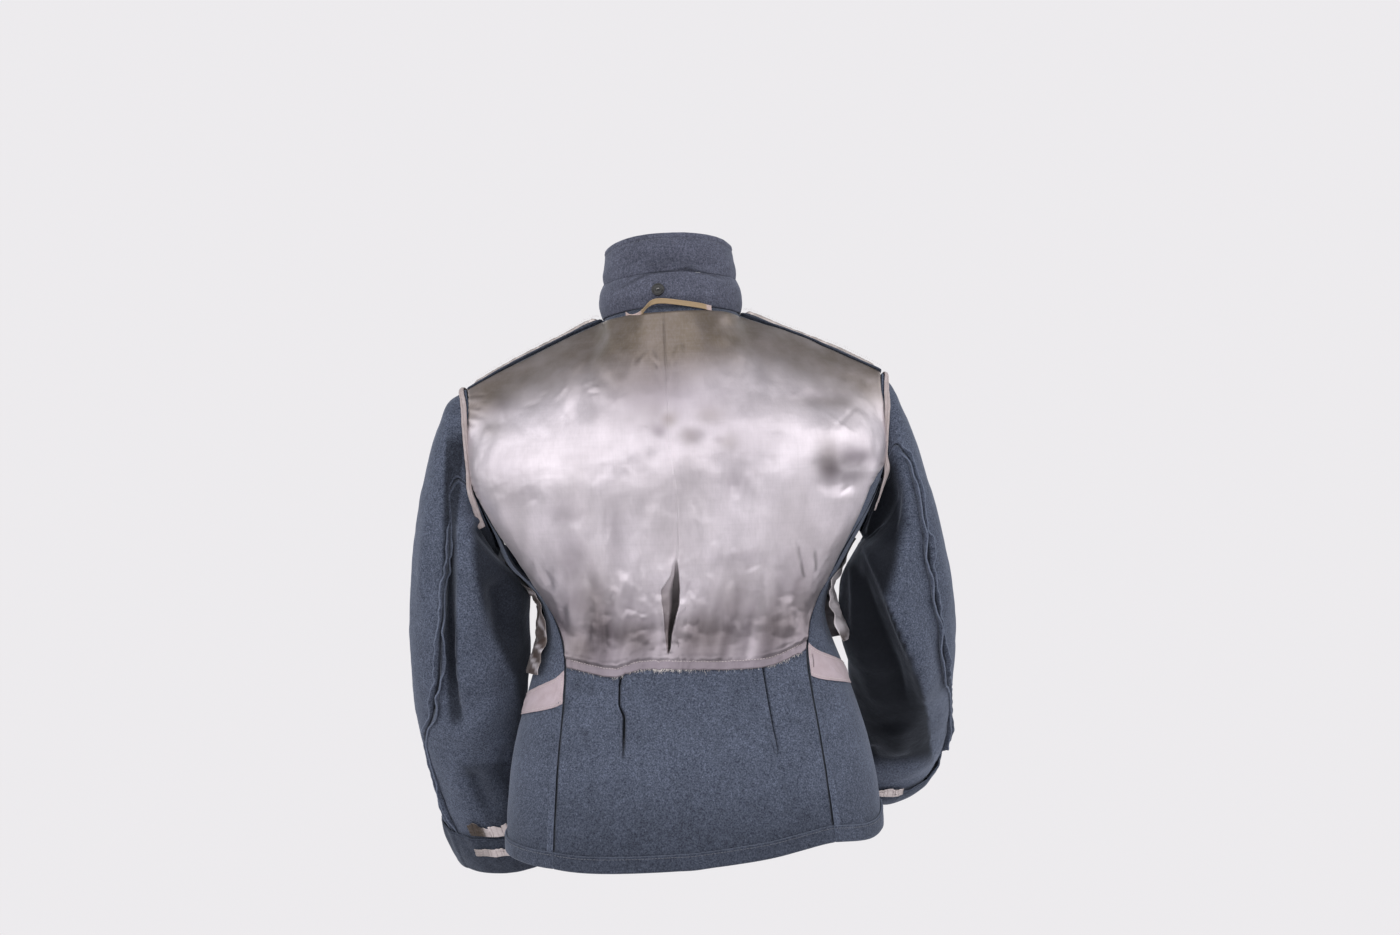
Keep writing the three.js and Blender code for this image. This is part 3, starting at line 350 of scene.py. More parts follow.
def spline_at(points, places):
    """Samples a smooth curve through points (or rows of points); places count from 0 at the first."""
    count = len(points)
    flat = np.asarray(points, float).reshape(count, -1)
    bend = np.zeros_like(flat)
    if count > 2:
        matrix = 4 * np.eye(count - 2) + np.eye(count - 2, k=1) + np.eye(count - 2, k=-1)
        bend[1:-1] = np.linalg.solve(matrix, 6 * (flat[2:] - 2 * flat[1:-1] + flat[:-2]))
    i = np.clip(np.floor(places).astype(int), 0, count - 2)
    t = (np.asarray(places) - i)[:, None]
    made = flat[i] * (1 - t) + flat[i + 1] * t
    made += ((1 - t) ** 3 - (1 - t)) * bend[i] / 6 + (t**3 - t) * bend[i + 1] / 6
    return made.reshape(len(made), *np.shape(points)[1:])


def refine(points, rows, columns):
    """A smooth sheet through a net of points, sampled at places between its rows and columns."""
    tall = spline_at(points, rows)
    return np.swapaxes(spline_at(np.swapaxes(tall, 0, 1), columns), 0, 1)


def unit(ways):
    return ways / np.maximum(np.linalg.norm(ways, axis=-1, keepdims=True), 1e-9)


def way_along(points):
    """The way along a line to each of its points."""
    return np.concatenate([[0], np.cumsum(np.linalg.norm(np.diff(points, axis=0), axis=1))])


def facing(rows, inside, closed=False):
    """Outward directions over a sheet; inside is a point that they turn away from."""
    across = np.roll(rows, -1, 1) - np.roll(rows, 1, 1) if closed else np.gradient(rows, axis=1)
    normal = unit(np.cross(across, np.gradient(rows, axis=0)))
    away = np.sum(normal * (rows - np.asarray(inside, float)))
    return normal * (-1 if away < 0 else 1)


def cells(start, stop, fine):
    """Places from one net line to another, fine of them to each cell."""
    return np.linspace(start, stop, round((stop - start) * fine) + 1)


def smooth(share):
    share = np.clip(share, 0, 1)
    return share * share * (3 - 2 * share)


def bell(distance, width):
    """1 at no distance, and softly down to nothing past the width."""
    return np.exp(-((distance / width) ** 2))


def folds(x, z, table):
    """Rise of soft folds: each line has rise, half width, lean to one side, and the points of its run."""
    rise = np.zeros(np.shape(x))
    for height, width, lean, *run in table:
        run = np.array(run, float)
        lengths = np.linalg.norm(np.diff(run, axis=0), axis=1)
        starts = way_along(run)
        reach = FOLD_REACH * width * (1 + abs(lean))
        near = (x > run[:, 0].min() - reach) & (x < run[:, 0].max() + reach)
        near &= (z > run[:, 1].min() - reach) & (z < run[:, 1].max() + reach)
        px, pz = x[near], z[near]
        best = np.full(px.shape, 1e9)
        signed = np.zeros(px.shape)
        place = np.zeros(px.shape)
        for (ax, az), (bx, bz), length, start in zip(run[:-1], run[1:], lengths, starts):
            ux, uz = (bx - ax) / length, (bz - az) / length
            t = np.clip((px - ax) * ux + (pz - az) * uz, 0, length)
            dx, dz = px - ax - t * ux, pz - az - t * uz
            distance = np.hypot(dx, dz)
            closer = distance < best
            best = np.where(closer, distance, best)
            signed = np.where(closer, dx * uz - dz * ux, signed)
            place = np.where(closer, (start + t) / starts[-1], place)
        wide = width * np.where(signed > 0, 1 + lean, 1 - lean)
        taper = smooth(np.minimum(place, 1 - place) / FOLD_TAPER)
        rise[near] += height * bell(best, wide) * taper
    return rise


def unrest(rows, size, seed):
    """Small uneven waves of cloth, from -1 to 1, with waves of about size millimetres."""
    shift = Vector((seed * 7.3, seed * 3.1, seed * 11.7))
    flat = rows.reshape(-1, 3) / size
    return np.array([noise.fractal(Vector(p) + shift, 1.0, 2.0, 3) for p in flat]).reshape(rows.shape[:2])


def waves(*places):
    """Smooth chance values, from -1 to 1; the three places may be numbers or arrays."""
    spots = np.stack(np.broadcast_arrays(*places), -1).astype(float)
    return np.array([noise.noise(Vector(p)) for p in spots.reshape(-1, 3)]).reshape(spots.shape[:-1])


def lengths_along(rows):
    """Cloth coordinates of a sheet, in metres: the way across and the way up."""
    across = way_along(rows[len(rows) // 2])
    up = way_along(rows[:, rows.shape[1] // 2])
    return np.stack(np.broadcast_arrays(across[None, :] - across.mean(), up[:, None]), -1) * MM


def cloth(name, rows, normal, thickness, material, keep=None, closed=False, marks=None):
    """A wall of cloth round a sheet of points, with soft edges; marks are named values on the sheet."""
    high, wide = rows.shape[:2]
    span = wide if closed else wide - 1
    r, c = np.mgrid[0:high - 1, 0:span]
    nxt = (c + 1) % wide
    quads = np.stack([r * wide + c, r * wide + nxt, (r + 1) * wide + nxt, (r + 1) * wide + c], -1)
    quads = quads.reshape(-1, 4) if keep is None else quads[keep]
    turn = np.cross(rows[:-1, 1:] - rows[:-1, :-1], rows[1:, :-1] - rows[:-1, :-1])
    if np.sum(turn * normal[:-1, :-1]) < 0:
        quads = quads[:, ::-1]
    count = high * wide
    places = rows.reshape(-1, 3)
    out = normal.reshape(-1, 3)
    edges = np.concatenate([np.stack([quads[:, k], quads[:, (k + 1) % 4]], 1) for k in range(4)])
    rim = edges[~np.isin(edges[:, 0] * count + edges[:, 1], edges[:, 1] * count + edges[:, 0])]
    push = np.zeros_like(places)
    for k in range(2):
        np.add.at(push, rim[:, k], np.cross(places[rim[:, 1]] - places[rim[:, 0]], out[rim[:, k]]))
    rounded = places + unit(push) * thickness * RIM_ROUND
    layers = [places + out * thickness / 2, places - out * thickness / 2, rounded]
    a, b = rim[:, 0], rim[:, 1]
    faces = np.concatenate([
        quads,
        quads[:, ::-1] + count,
        np.stack([b, a, a + 2 * count, b + 2 * count], 1),
        np.stack([b + 2 * count, a + 2 * count, a + count, b + count], 1),
    ])
    used, faces = np.unique(faces, return_inverse=True)
    faces = faces.reshape(-1, 4)
    vertices = np.concatenate(layers)[used] * MM
    mesh = bpy.data.meshes.new(name)
    mesh.from_pydata(vertices.tolist(), [], faces.tolist())
    flat = np.tile(lengths_along(rows).reshape(-1, 2), (3, 1))[used]
    mesh.uv_layers.new(name="cloth").data.foreach_set("uv", flat[faces.ravel()].ravel())
    values = {"edge": np.concatenate([np.zeros(2 * count), np.ones(count)])}
    for mark, value in (marks or {}).items():
        values[mark] = np.tile(np.broadcast_to(value, (high, wide)).ravel(), 3)
    for mark, value in values.items():
        mesh.attributes.new(mark, "FLOAT", "POINT").data.foreach_set("value", value[used])
    mesh.shade_smooth()
    mesh.materials.append(material)
    return added(name, mesh)


def wear(piece, node):
    """Hangs a piece of cloth on the root, and hides the plain part that it stands for, if there is one."""
    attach(piece, "root")
    if node:
        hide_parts(node)


def wool_material(name, dark, light, seed):
    """Milled melange wool: dark and light fibres mixed, napped, worn paler on its edges, darkened with
    painted shade where marked.
    """
    paint = Paint(name, {
        "Roughness": 0.95, "Specular IOR Level": 0.15, "Sheen Weight": 0.22, "Sheen Roughness": 0.45,
        "Sheen Tint": (0.75, 0.82, 1.0, 1),
    })

    def fibres(scale, detail, stretch=(1, 1, 1)):
        return paint.clouds(scale, detail, stretch, (seed, 0, 0), (0.3, 0.5, seed), 0.7)

    base = paint.blended(paint.spread(fibres(620, 7), 0.38, 0.63, 0, 1), dark, light)
    for scale, detail, uneven in ((240, 6, 0.2), (30, 4, 0.14)):
        flecks = paint.spread(fibres(scale, detail), 0.3, 0.7, 1 - uneven, 1 + uneven)
        base = paint.blended(1, base, flecks, "MULTIPLY")
    hairs = paint.spread(fibres(900, 3, (1, 1, 0.16)), 0.63, 0.72, 0, 0.5)
    base = paint.blended(hairs, base, times(light, 2.6))
    base = paint.blended(paint.spread(paint.marked("edge"), 0, 1, 0, 0.55), base, times(light, 1.7))
    base = paint.blended(paint.marked("shade"), base, times(dark, 0.1))
    paint.lead(base, "Base Color")
    lumps = paint.bumps(fibres(160, 3), 0.4, 0.0012)
    paint.lead(paint.bumps(fibres(1100, 4), 0.35, 0.0008, lumps), "Normal")
    return paint.material


wool = wool_material("wool_melange", (0.030, 0.035, 0.055), (0.108, 0.124, 0.170), 0)
collar_wool = wool_material("wool_collar", (0.043, 0.046, 0.067), (0.113, 0.117, 0.158), 3)

SEAM_SETBACK = 1.7
SHOULDER_SETBACK = 2.0
ALLOWANCE = 8
# The hem's turned band, from its edge down to the fold, and the turn of the fold itself.
HEM_BAND = (HEM_TURN, HEM_TURN - 1.5, 9, 4.5, 1.2)
HEM_FOLD = (0.5, 1.2, 1.9, 2.6)
# How tall the allowances of the shoulder seams stand, how they lean and how they wave.
STANDING_EDGE = 4.6
EDGE_LEAN = 1.6
EDGE_WAVE = 1.6
LINING_ROOM = 3.8
# The lined part of the back: its lowest height, and how softly it ends at its sides, foot and top.
LINED_FROM = -352
LINED_SIDES, LINED_FOOT, LINED_TOP = 24, 14, 22
LINED_BELOW_TOP = 6
# How wide and deep the dart grooves are sunk, and how sharply they are painted dark as shadow.
GROOVE_WIDTH = 1.7
GROOVE_DEPTH = 2
GROOVE_SHARP = 2.2
# Places on the net between which the columns stand closer, along the two darts.
BY_DARTS = [(3.3, 4.2), (14.9, 15.8)]
DART_STEP = 0.06
WAIST_ROW = 7
# How far the two lines of a tucked-in allowance lie past the seam, and how far under the front.
UNDER_FRONTS = [(0.5, 2.4), (5, 3.1)]
# Painted shade along the open seams and on the standing allowances, and how the foot is darkened with painted
# shade below a height.
SEAM_SHADE = 0.95
EDGE_SHADE = 0.6
FOOT_SHADE_FROM, FOOT_SHADE_OVER = -455, 100
BACK_FOOT_SHADE, FRONT_FOOT_SHADE = 0.42, 0.3
# Lines of the two darts: across and height.
DART_GROOVES = [
    [(65.5, -350), (66, -368), (69, -379), (70, -399), (65, -410), (67, -448), (67, -456)],
    [(-76, -350), (-77, -367), (-80, -398), (-84, -429), (-87, -446), (-87, -462)],
]
BACK_FOLDS = [
    (2.5, 14, 0, (60, -390), (35, -450), (20, -520)),
    (-2, 12, 0, (-30, -400), (-42, -470), (-48, -540)),
    (2, 10, 0, (-112, -400), (-108, -460), (-116, -535)),
    (-1.8, 9, 0, (98, -400), (101, -470), (108, -545)),
]
# Worn spots beside the dart on the left: across, height, half width, half height, depth.
WORN_SPOTS = [
    (112, -377, 8, 9, 0.32), (105, -426, 5, 4, 0.32), (98, -383, 5, 5, 0.32), (126, -402, 4, 5, 0.32),
]


def setback(rows, first=0, last=0, top=0):
    """Pulls the outermost columns and the top row back along the cloth, and the columns less at the hem."""
    rows = rows.copy()
    for edge, nxt, distance in ((0, 1, first), (-1, -2, last)):
        distance = distance * (1 - 0.85 * smooth((20 - rows[:, edge, 2] + rows[0, edge, 2]) / 6))
        rows[:, edge] += unit(rows[:, nxt] - rows[:, edge]) * distance[:, None]
    rows[-1] += unit(rows[-2] - rows[-1]) * np.broadcast_to(top, rows.shape[1])[:, None]
    return rows


def with_hem(rows, normal):
    """Adds the hem, turned outwards and up, below the first row."""
    away = WOOL + GAP
    down = unit(rows[0] - rows[2])
    band = [rows[0] - down * high + normal[0] * away for high in HEM_BAND]
    turn = [
        rows[0] + normal[0] * away * (1 + math.cos(a)) / 2 + down * away * 0.7 * math.sin(a)
        for a in HEM_FOLD
    ]
    extra = band + turn
    added = np.repeat(normal[:1], len(extra), 0)
    return np.concatenate([extra, rows]), np.concatenate([added, normal]), len(extra)


def with_allowance(rows, normal, seed):
    """Adds a seam allowance above the last row, standing outwards and waving."""
    back = unit(rows[-4] - rows[-1])
    uneven = waves(way_along(rows[-1]) / 34, seed * 5.7, 0)[:, None]
    extra = []
    for share in (0.2, 0.45, 0.72, 1):
        tall = STANDING_EDGE * share * (1 + 0.12 * uneven)
        lean = EDGE_LEAN * share**0.7 + EDGE_WAVE * uneven * share
        extra.append(rows[-1] + normal[-1] * tall + back * lean)
    return np.concatenate([rows, extra])


def spots_at(x, z, spots):
    """The deepest of the soft spots at each place: across, height, half width, half height, depth."""
    value = np.zeros(x.shape)
    for across, height, wide, high, depth in spots:
        value = np.maximum(value, depth * np.exp(-(((x - across) / wide) ** 2 + ((z - height) / high) ** 2)))
    return value


def under_lining(rows):
    """Share, from 0 to 1, to which a place lies well inside the lined part of the back."""
    across, height = rows[..., 0], rows[..., 2]
    sides = np.minimum(across - across[:, :1], across[:, -1:] - across)
    share = smooth(sides / LINED_SIDES) * smooth((height - LINED_FROM) / LINED_FOOT)
    return share * smooth((height[-1] - height - LINED_BELOW_TOP) / LINED_TOP)


def turned_in(rows, shade):
    """Adds the allowances of the side-back seams, which go in under the fronts, painted fully dark as shadow.
    """
    normal = facing(rows, INSIDE)
    sides = []
    for edge, nxt in ((0, 2), (-1, -3)):
        out = unit(rows[:, edge] - rows[:, nxt])
        sides.append([
            rows[:, edge] + out * wide - normal[:, edge] * under for wide, under in UNDER_FRONTS
        ])
    wide = np.concatenate([np.stack(sides[0][::-1], axis=1), rows, np.stack(sides[1], axis=1)], axis=1)
    dark = np.ones((len(rows), 2))
    return wide, np.concatenate([dark, shade, dark], axis=1)


back_across = [-a for a in BACK_ACROSS[:0:-1]] + BACK_ACROSS
back_net = np.array([back_column(a) for a in back_across]).swapaxes(0, 1)
NECK_COLUMN = BACK_ACROSS.index(NECK_SHARE)
CENTRE_COLUMN = len(BACK_ACROSS) - 1
back_rows = np.concatenate([cells(0, WAIST_ROW, 11), cells(WAIST_ROW, TOP_ROW, 4)[1:]])
by_darts = [np.arange(*span, DART_STEP) for span in BY_DARTS]
back_columns = np.unique(np.concatenate([cells(0, 2 * CENTRE_COLUMN, 7), *by_darts]))
back_plain = refine(back_net, back_rows, back_columns)
back_facing = facing(back_plain, INSIDE)
back_sheet = back_plain + back_facing * folds(back_plain[..., 0], back_plain[..., 2], BACK_FOLDS)[..., None]
back_sheet += back_facing * (unrest(back_plain, 45, 1) * 0.9)[..., None]
on_shoulder = np.abs(back_columns - CENTRE_COLUMN) >= NECK_COLUMN
hollow = back_sheet - back_facing * (LINING_ROOM * under_lining(back_sheet))[..., None]
body = setback(hollow, SEAM_SETBACK, SEAM_SETBACK, np.where(on_shoulder, SHOULDER_SETBACK, 0.5))
body, body_facing, hem_rows = with_hem(body, back_facing)
body = with_allowance(body, body_facing, 2)
across, height = body[..., 0], body[..., 2]
# The dart grooves are sunk and painted dark as shadow; the foot, the seams and the standing allowances get
# painted shade, and the worn spots are darkened too.
grooves = [folds(across, height, [(1, GROOVE_WIDTH, 0, *run)]) for run in DART_GROOVES]
shade = np.clip(GROOVE_SHARP * np.max(grooves, axis=0), 0, 1)
shade[:hem_rows] = 0
body -= facing(body, INSIDE) * (GROOVE_DEPTH * shade)[..., None]
foot_shade = BACK_FOOT_SHADE * smooth((FOOT_SHADE_FROM - body[..., 2]) / FOOT_SHADE_OVER)
shade = np.maximum(shade, foot_shade)
shade = np.maximum(shade, spots_at(body[..., 0], body[..., 2], WORN_SPOTS))
shade[hem_rows + 3:-4, [0, -1]] = SEAM_SHADE
shade[-5:] = EDGE_SHADE
body, shade = turned_in(body, shade)
keep = np.ones((len(body) - 1, body.shape[1] - 1), bool)
edges = np.concatenate([[False] * 2, on_shoulder[1:] & on_shoulder[:-1], [False] * 2])
keep[-4:] = edges[None, :]
chest_at = hem_rows + np.searchsorted(back_rows, CHEST_ROW)
keep[chest_at:, :2] = keep[chest_at:, -2:] = False
keep[:hem_rows + 4, :2] = keep[:hem_rows + 4, -2:] = False
back = cloth("back_cloth", body, facing(body, INSIDE), WOOL, wool, keep, marks={"shade": shade})
wear(back, "back")


# ---- Fronts ----
# The two fronts of the same wool, from the side-back seams round the sides to the closed front
# edge, where the left lies outside the right. Their hems are turned outwards like that of the back.
OVERLAP = 15
LAP_LIFT = 1.8
ARMHOLE_FRONT_X = 195
ARMHOLE_DROP = 58
UNDERARM_EASE = -296
# How far the cloth of the left front bunches outwards below its armhole, and at what height.
UNDERARM_BUNCH = {1: 7, -1: 0}
UNDERARM_BUNCH_AT = -250
UNDERARM_BUNCH_HIGH = 19
SIDE_COLUMNS = [1, 0.88, 0.64, 0.36, 0.12]
FRONT_ACROSS = [1, 0.845, 0.69, 0.535, NECK_SHARE, 0.19]
SIDE_CELLS = len(SIDE_COLUMNS)
FRONT_FINE = 7
ARMHOLE_EDGE = SIDE_CELLS * FRONT_FINE
# The wearer's left and right; the side is also the way the front lies, outside or inside.
SIDES = [("left", 1), ("right", -1)]
NECK_PLACE = SIDE_CELLS + FRONT_ACROSS.index(NECK_SHARE)
FRONT_FOLDS = [
    (3, 16, 0, (90, -215), (82, -290), (88, -370)),
    (-2.5, 13, 0, (55, -230), (48, -300), (52, -380)),
    (2.5, 14, 0, (-60, -220), (-72, -300), (-66, -390)),
    (-2.5, 12, 0.2, (-105, -240), (-98, -310), (-104, -370)),
    (2, 12, 0, (30, -400), (44, -460), (38, -530)),
    (-2, 14, 0, (-120, -400), (-126, -470), (-120, -535)),
    (2.5, 12, 0, (150, -120), (120, -170), (105, -215)),
    (2.5, 12, 0, (-155, -125), (-122, -172), (-108, -220)),
]


def chest_share():
    outline = ring(CHEST)
    span = outline[2][-1] - seam_way(CHEST)
    return (outline[2][-1] - way_to_x(outline, ARMHOLE_FRONT_X, False)) / span


CHEST_SHARE = chest_share()


def front_point(side, share, z):
    height = z + hem_shift(side, 2 - abs(share), z)
    outline = ring(height)
    total = outline[2][-1]
    x, y = along_ring(outline, total - abs(share) * (total - seam_way(height)))
    return np.array((side * (x if share >= 0 else -x), y, height))


def front_net(side):
    """Net of a front: columns from the side-back seam to past the centre; side columns end at the armhole."""
    past = (OVERLAP - (2 if side > 0 else 0)) / (CHEST_SHARE * (ring(CHEST)[2][-1] - seam_way(CHEST)))
    columns = []
    for w in SIDE_COLUMNS:
        drop = ARMHOLE_DROP * math.sqrt(max(0, 1 - (2 * w - 1) ** 2))
        squeeze = (CHEST - drop - UNDERARM_EASE) / (CHEST - UNDERARM_EASE)
        above = [max(z - UNDERARM_EASE, 0) for z in LOWER_ROWS]
        share = CHEST_SHARE + (1 - CHEST_SHARE) * w
        lower = [front_point(side, share, z + up * (squeeze - 1)) for z, up in zip(LOWER_ROWS, above)]
        columns.append(lower + [lower[-1]] * len(YOKE_ROWS))
    for across in [*FRONT_ACROSS, past, 0, -past]:
        lower = [front_point(side, across * CHEST_SHARE, z) for z in LOWER_ROWS]
        turned = np.array((side * (-1 if across < 0 else 1), 1, 1))
        share = abs(across) * CHEST_SHARE
        chest, below = front_point(1, share, CHEST), front_point(1, share, CHEST - BELOW_CHEST)
        columns.append(lower + [yoke_point(chest, below, abs(across), False, s) * turned for s in YOKE_ROWS])
    return np.array(columns).swapaxes(0, 1)


def front_sheet(side):
    """The fine sheet of a front, its outward directions, and its places on the net."""
    net = front_net(side)
    low, high = cells(0, CHEST_ROW, 6), cells(CHEST_ROW, TOP_ROW, 5)[1:]
    columns = cells(0, net.shape[1] - 1, FRONT_FINE)
    edge = ARMHOLE_EDGE
    inner = columns[edge:] - SIDE_CELLS
    sides = spline_at(net[:CHEST_ROW + 1, :SIDE_CELLS], low)
    rest = spline_at(net[:, SIDE_CELLS:], np.concatenate([low, high]))
    lower = np.concatenate([sides, rest[:len(low)]], axis=1)
    lower = spline_at(lower.swapaxes(0, 1), columns).swapaxes(0, 1)
    upper = spline_at(rest[len(low):].swapaxes(0, 1), inner).swapaxes(0, 1)
    filled = np.concatenate([np.repeat(lower[-1:, :edge], len(high), 0), upper], axis=1)
    rows = np.concatenate([lower, filled])
    normal = facing(rows, INSIDE)
    normal[:len(low), :edge + 1] = facing(lower, INSIDE)[:, :edge + 1]
    normal[:, edge:] = facing(rows[:, edge:], INSIDE)
    lap = side * LAP_LIFT * (1 - np.clip((np.abs(rows[..., 0]) - OVERLAP) / 45, 0, 1))
    front_side = smooth((20 - rows[..., 1]) / 40)
    swell = folds(rows[..., 0], rows[..., 2], FRONT_FOLDS) * front_side + unrest(rows, 50, 4 + side) * 0.8
    bunched = UNDERARM_BUNCH[side] * smooth((rows[..., 1] + 70) / 50)
    bunched = bunched * bell(rows[..., 2] - UNDERARM_BUNCH_AT, UNDERARM_BUNCH_HIGH)
    rows = rows + normal * (lap + swell + bunched)[..., None]
    return rows, normal, np.concatenate([low, high]), columns


fronts = {}
for side_name, side in SIDES:
    sheet, sheet_facing, row_places, column_places = front_sheet(side)
    fronts[side_name] = (sheet, sheet_facing, row_places, column_places)
    on_shoulder = column_places <= NECK_PLACE
    body = setback(sheet, SEAM_SETBACK, 0, np.where(on_shoulder, SHOULDER_SETBACK, 0.5))
    body[-1, :ARMHOLE_EDGE] = sheet[-1, :ARMHOLE_EDGE]
    body, body_facing, hem_rows = with_hem(body, sheet_facing)
    body = with_allowance(body, body_facing, 5 + side)
    chest_at = hem_rows + np.searchsorted(row_places, CHEST_ROW)
    keep = np.ones((len(body) - 1, len(column_places) - 1), bool)
    keep[chest_at:, :ARMHOLE_EDGE] = False
    keep[-4:] &= (on_shoulder[1:] & on_shoulder[:-1])[None, :]
    if side < 0:
        keep[:hem_rows, column_places[1:] > SIDE_CELLS + len(FRONT_ACROSS)] = False
    normal = facing(body, INSIDE)
    normal[:, ARMHOLE_EDGE:] = facing(body[:, ARMHOLE_EDGE:], INSIDE)
    normal[:chest_at + 1, :ARMHOLE_EDGE + 1] = facing(body[:chest_at + 1], INSIDE)[:, :ARMHOLE_EDGE + 1]
    # Painted shade at the foot, in the gap of the side-back seam and on the standing allowances.
    shade = FRONT_FOOT_SHADE * smooth((FOOT_SHADE_FROM - body[..., 2]) / FOOT_SHADE_OVER)
    shade *= smooth((body[..., 1] + 20) / 40)
    shade[hem_rows + 3:chest_at, 0] = SEAM_SHADE
    shade[-5:, ARMHOLE_EDGE:] = EDGE_SHADE
    front = cloth(f"front_cloth_{side_name}", body, normal, WOOL, wool, keep, marks={"shade": shade})
    wear(front, "front_" + side_name)


# ---- Sleeves ----
# Two-piece sleeves of the same wool, an under and an upper half each. Turned inside out, the
# allowances of both seams stand up as wavy double ridges. Each arm hangs its own way.
ARMHOLE_STEP = 2.2
ARMHOLE_UNDER_STEP = 3
BODY_CLEARANCE = 5.5
SLEEVE_LONG = 560
# Outermost point x and z, innermost point x and z, depth y of the middle, forward tilt in degrees,
# half depth, outward bow of the back and front.
SLEEVES = {
    "left": [
        (239, -82, 196, -246, -17, 0, 53, 9), (254, -113, 189, -256, -15, 0, 59, 10),
        (268, -160, 171, -268, -12, 3, 64, 8), (279, -208, 163, -283, -13, 6, 66, 4),
        (287, -255, 164, -300, -17, 8, 64, 1), (292, -305, 167, -326, -24, 11, 61, 0),
        (294, -350, 169, -362, -33, 16, 60, 0), (294, -390, 175, -398, -45, 20, 59, 0),
        (292, -425, 178, -432, -59, 22, 57, 0), (286, -463, 175, -470, -75, 23, 55, 0),
        (279, -500, 170, -505, -91, 22, 53, 0), (272, -535, 166, -540, -107, 19, 51, 0),
        (263, -577, 164, -580, -126, 14, 48, 0),
    ],
    "right": [
        (233, -91, 194, -246, -17, 0, 53, 9), (246, -126, 187, -256, -15, 0, 58, 10),
        (258, -170, 178, -268, -12, 4, 63, 8), (269, -216, 170, -283, -13, 8, 65, 4),
        (277, -260, 166, -300, -17, 12, 63, 1), (286, -305, 165, -322, -27, 19, 60, 0),
        (289, -343, 168, -352, -44, 31, 59, 0), (289, -373, 175, -378, -67, 42, 58, 0),
        (289, -403, 176, -407, -96, 46, 56, 0), (288, -432, 176, -436, -124, 47, 55, 0),
        (287, -460, 176, -465, -152, 47, 53, 0), (283, -480, 178, -493, -179, 47, 52, 0),
        (274, -500, 181, -522, -203, 47, 49, 0),
    ],
}
# Way along the sleeve, place round it of the hind seam on the left and right arm, of the fore seam.
SLEEVE_SEAMS = [
    (0, 0.27, 0.24, 0.66), (0.2, 0.215, 0.16, 0.68), (0.45, 0.19, 0.145, 0.7), (0.6, 0.16, 0.125, 0.7),
    (0.72, 0.085, 0.06, 0.68), (0.85, 0.1, 0.05, 0.68), (1, 0.12, 0.06, 0.68),
]
# Middle and reach along, middle and spread round, outward rise of each sleeve's largest folds.
LARGE_FOLDS = {
    "left": [
        (0.42, 0.3, 0.235, 0.035, -7), (0.42, 0.32, 0.3, 0.05, 4), (0.62, 0.05, 0.8, 0.14, -5),
        (0.72, 0.05, 0.7, 0.12, -4), (0.84, 0.06, 0.35, 0.12, 3),
    ],
    "right": [
        (0.55, 0.26, 0.3, 0.06, -6), (0.3, 0.2, 0.36, 0.07, 4), (0.58, 0.05, 0.78, 0.14, -7),
        (0.68, 0.05, 0.72, 0.12, -5), (0.86, 0.07, 0.2, 0.1, 3),
    ],
}
SLEEVE_CELLS = 26
UNDER_CELLS = 12
UPPER_CELLS = 16
SLEEVE_SETBACK = 1.9
# Heights of the lines of a standing allowance, as shares of it; the share of painted shade left on them.
FIN_HEIGHTS = (0.22, 0.48, 0.75, 1)
FIN_COLUMNS = len(FIN_HEIGHTS)
FIN_SHADE = 0.45
# Where the standing allowances are lower, along the sleeve, over what reach and by what share.
FIN_LOW_AT, FIN_LOW_REACH, FIN_LOW_BY = 0.71, 0.15, 0.66
# Share of the way down at which the allowances of the seams begin to stand up.
FINS_FROM = {"left": 0.22, "right": 0.1}
# Smaller folds, seen from behind: rise, half width, lean, run of points across and up.
SLEEVE_CREASES = {
    "left": [
        (9, 11, 0.7, (227, -212), (230, -247), (233, -288), (235, -340), (235, -392), (228, -432)),
        (-9, 7, 0, (229, -118), (234, -163), (238, -205), (240, -257), (242, -309), (244, -360), (243, -404),
         (238, -428)),
        (-11, 16, 0, (193, -256), (190, -280), (188, -306), (185, -342)),
        (5, 5, 0, (229, -231), (225, -215), (216, -208), (206, -209), (195, -220)),
        (4, 14, 0, (185, -380), (207, -409), (228, -429), (250, -448)),
        (-7, 12, 0, (240, -467), (230, -491), (222, -512), (217, -528)),
        (-4, 9, 0, (191, -441), (199, -472), (197, -498)),
        (2.5, 8, 0, (259, -183), (268, -245), (275, -307)),
    ],
    "right": [
        (10, 13, 0.7, (-184, -232), (-198, -266), (-211, -302), (-223, -334), (-236, -368), (-246, -405),
         (-256, -446)),
        (-8, 9, 0, (-173, -249), (-184, -281), (-196, -316), (-208, -350), (-220, -384), (-230, -418),
         (-241, -453)),
        (-11, 20, 0, (-207, -165), (-215, -204), (-216, -236), (-205, -272)),
        (2.5, 2.5, 0, (-177, -257), (-177, -296), (-178, -351)),
        (4, 14, 0, (-221, -446), (-224, -467), (-226, -492)),
        (-4, 8, 0, (-196, -474), (-203, -500)),
        (2, 8, 0, (-256, -175), (-269, -249), (-278, -322)),
    ],
}
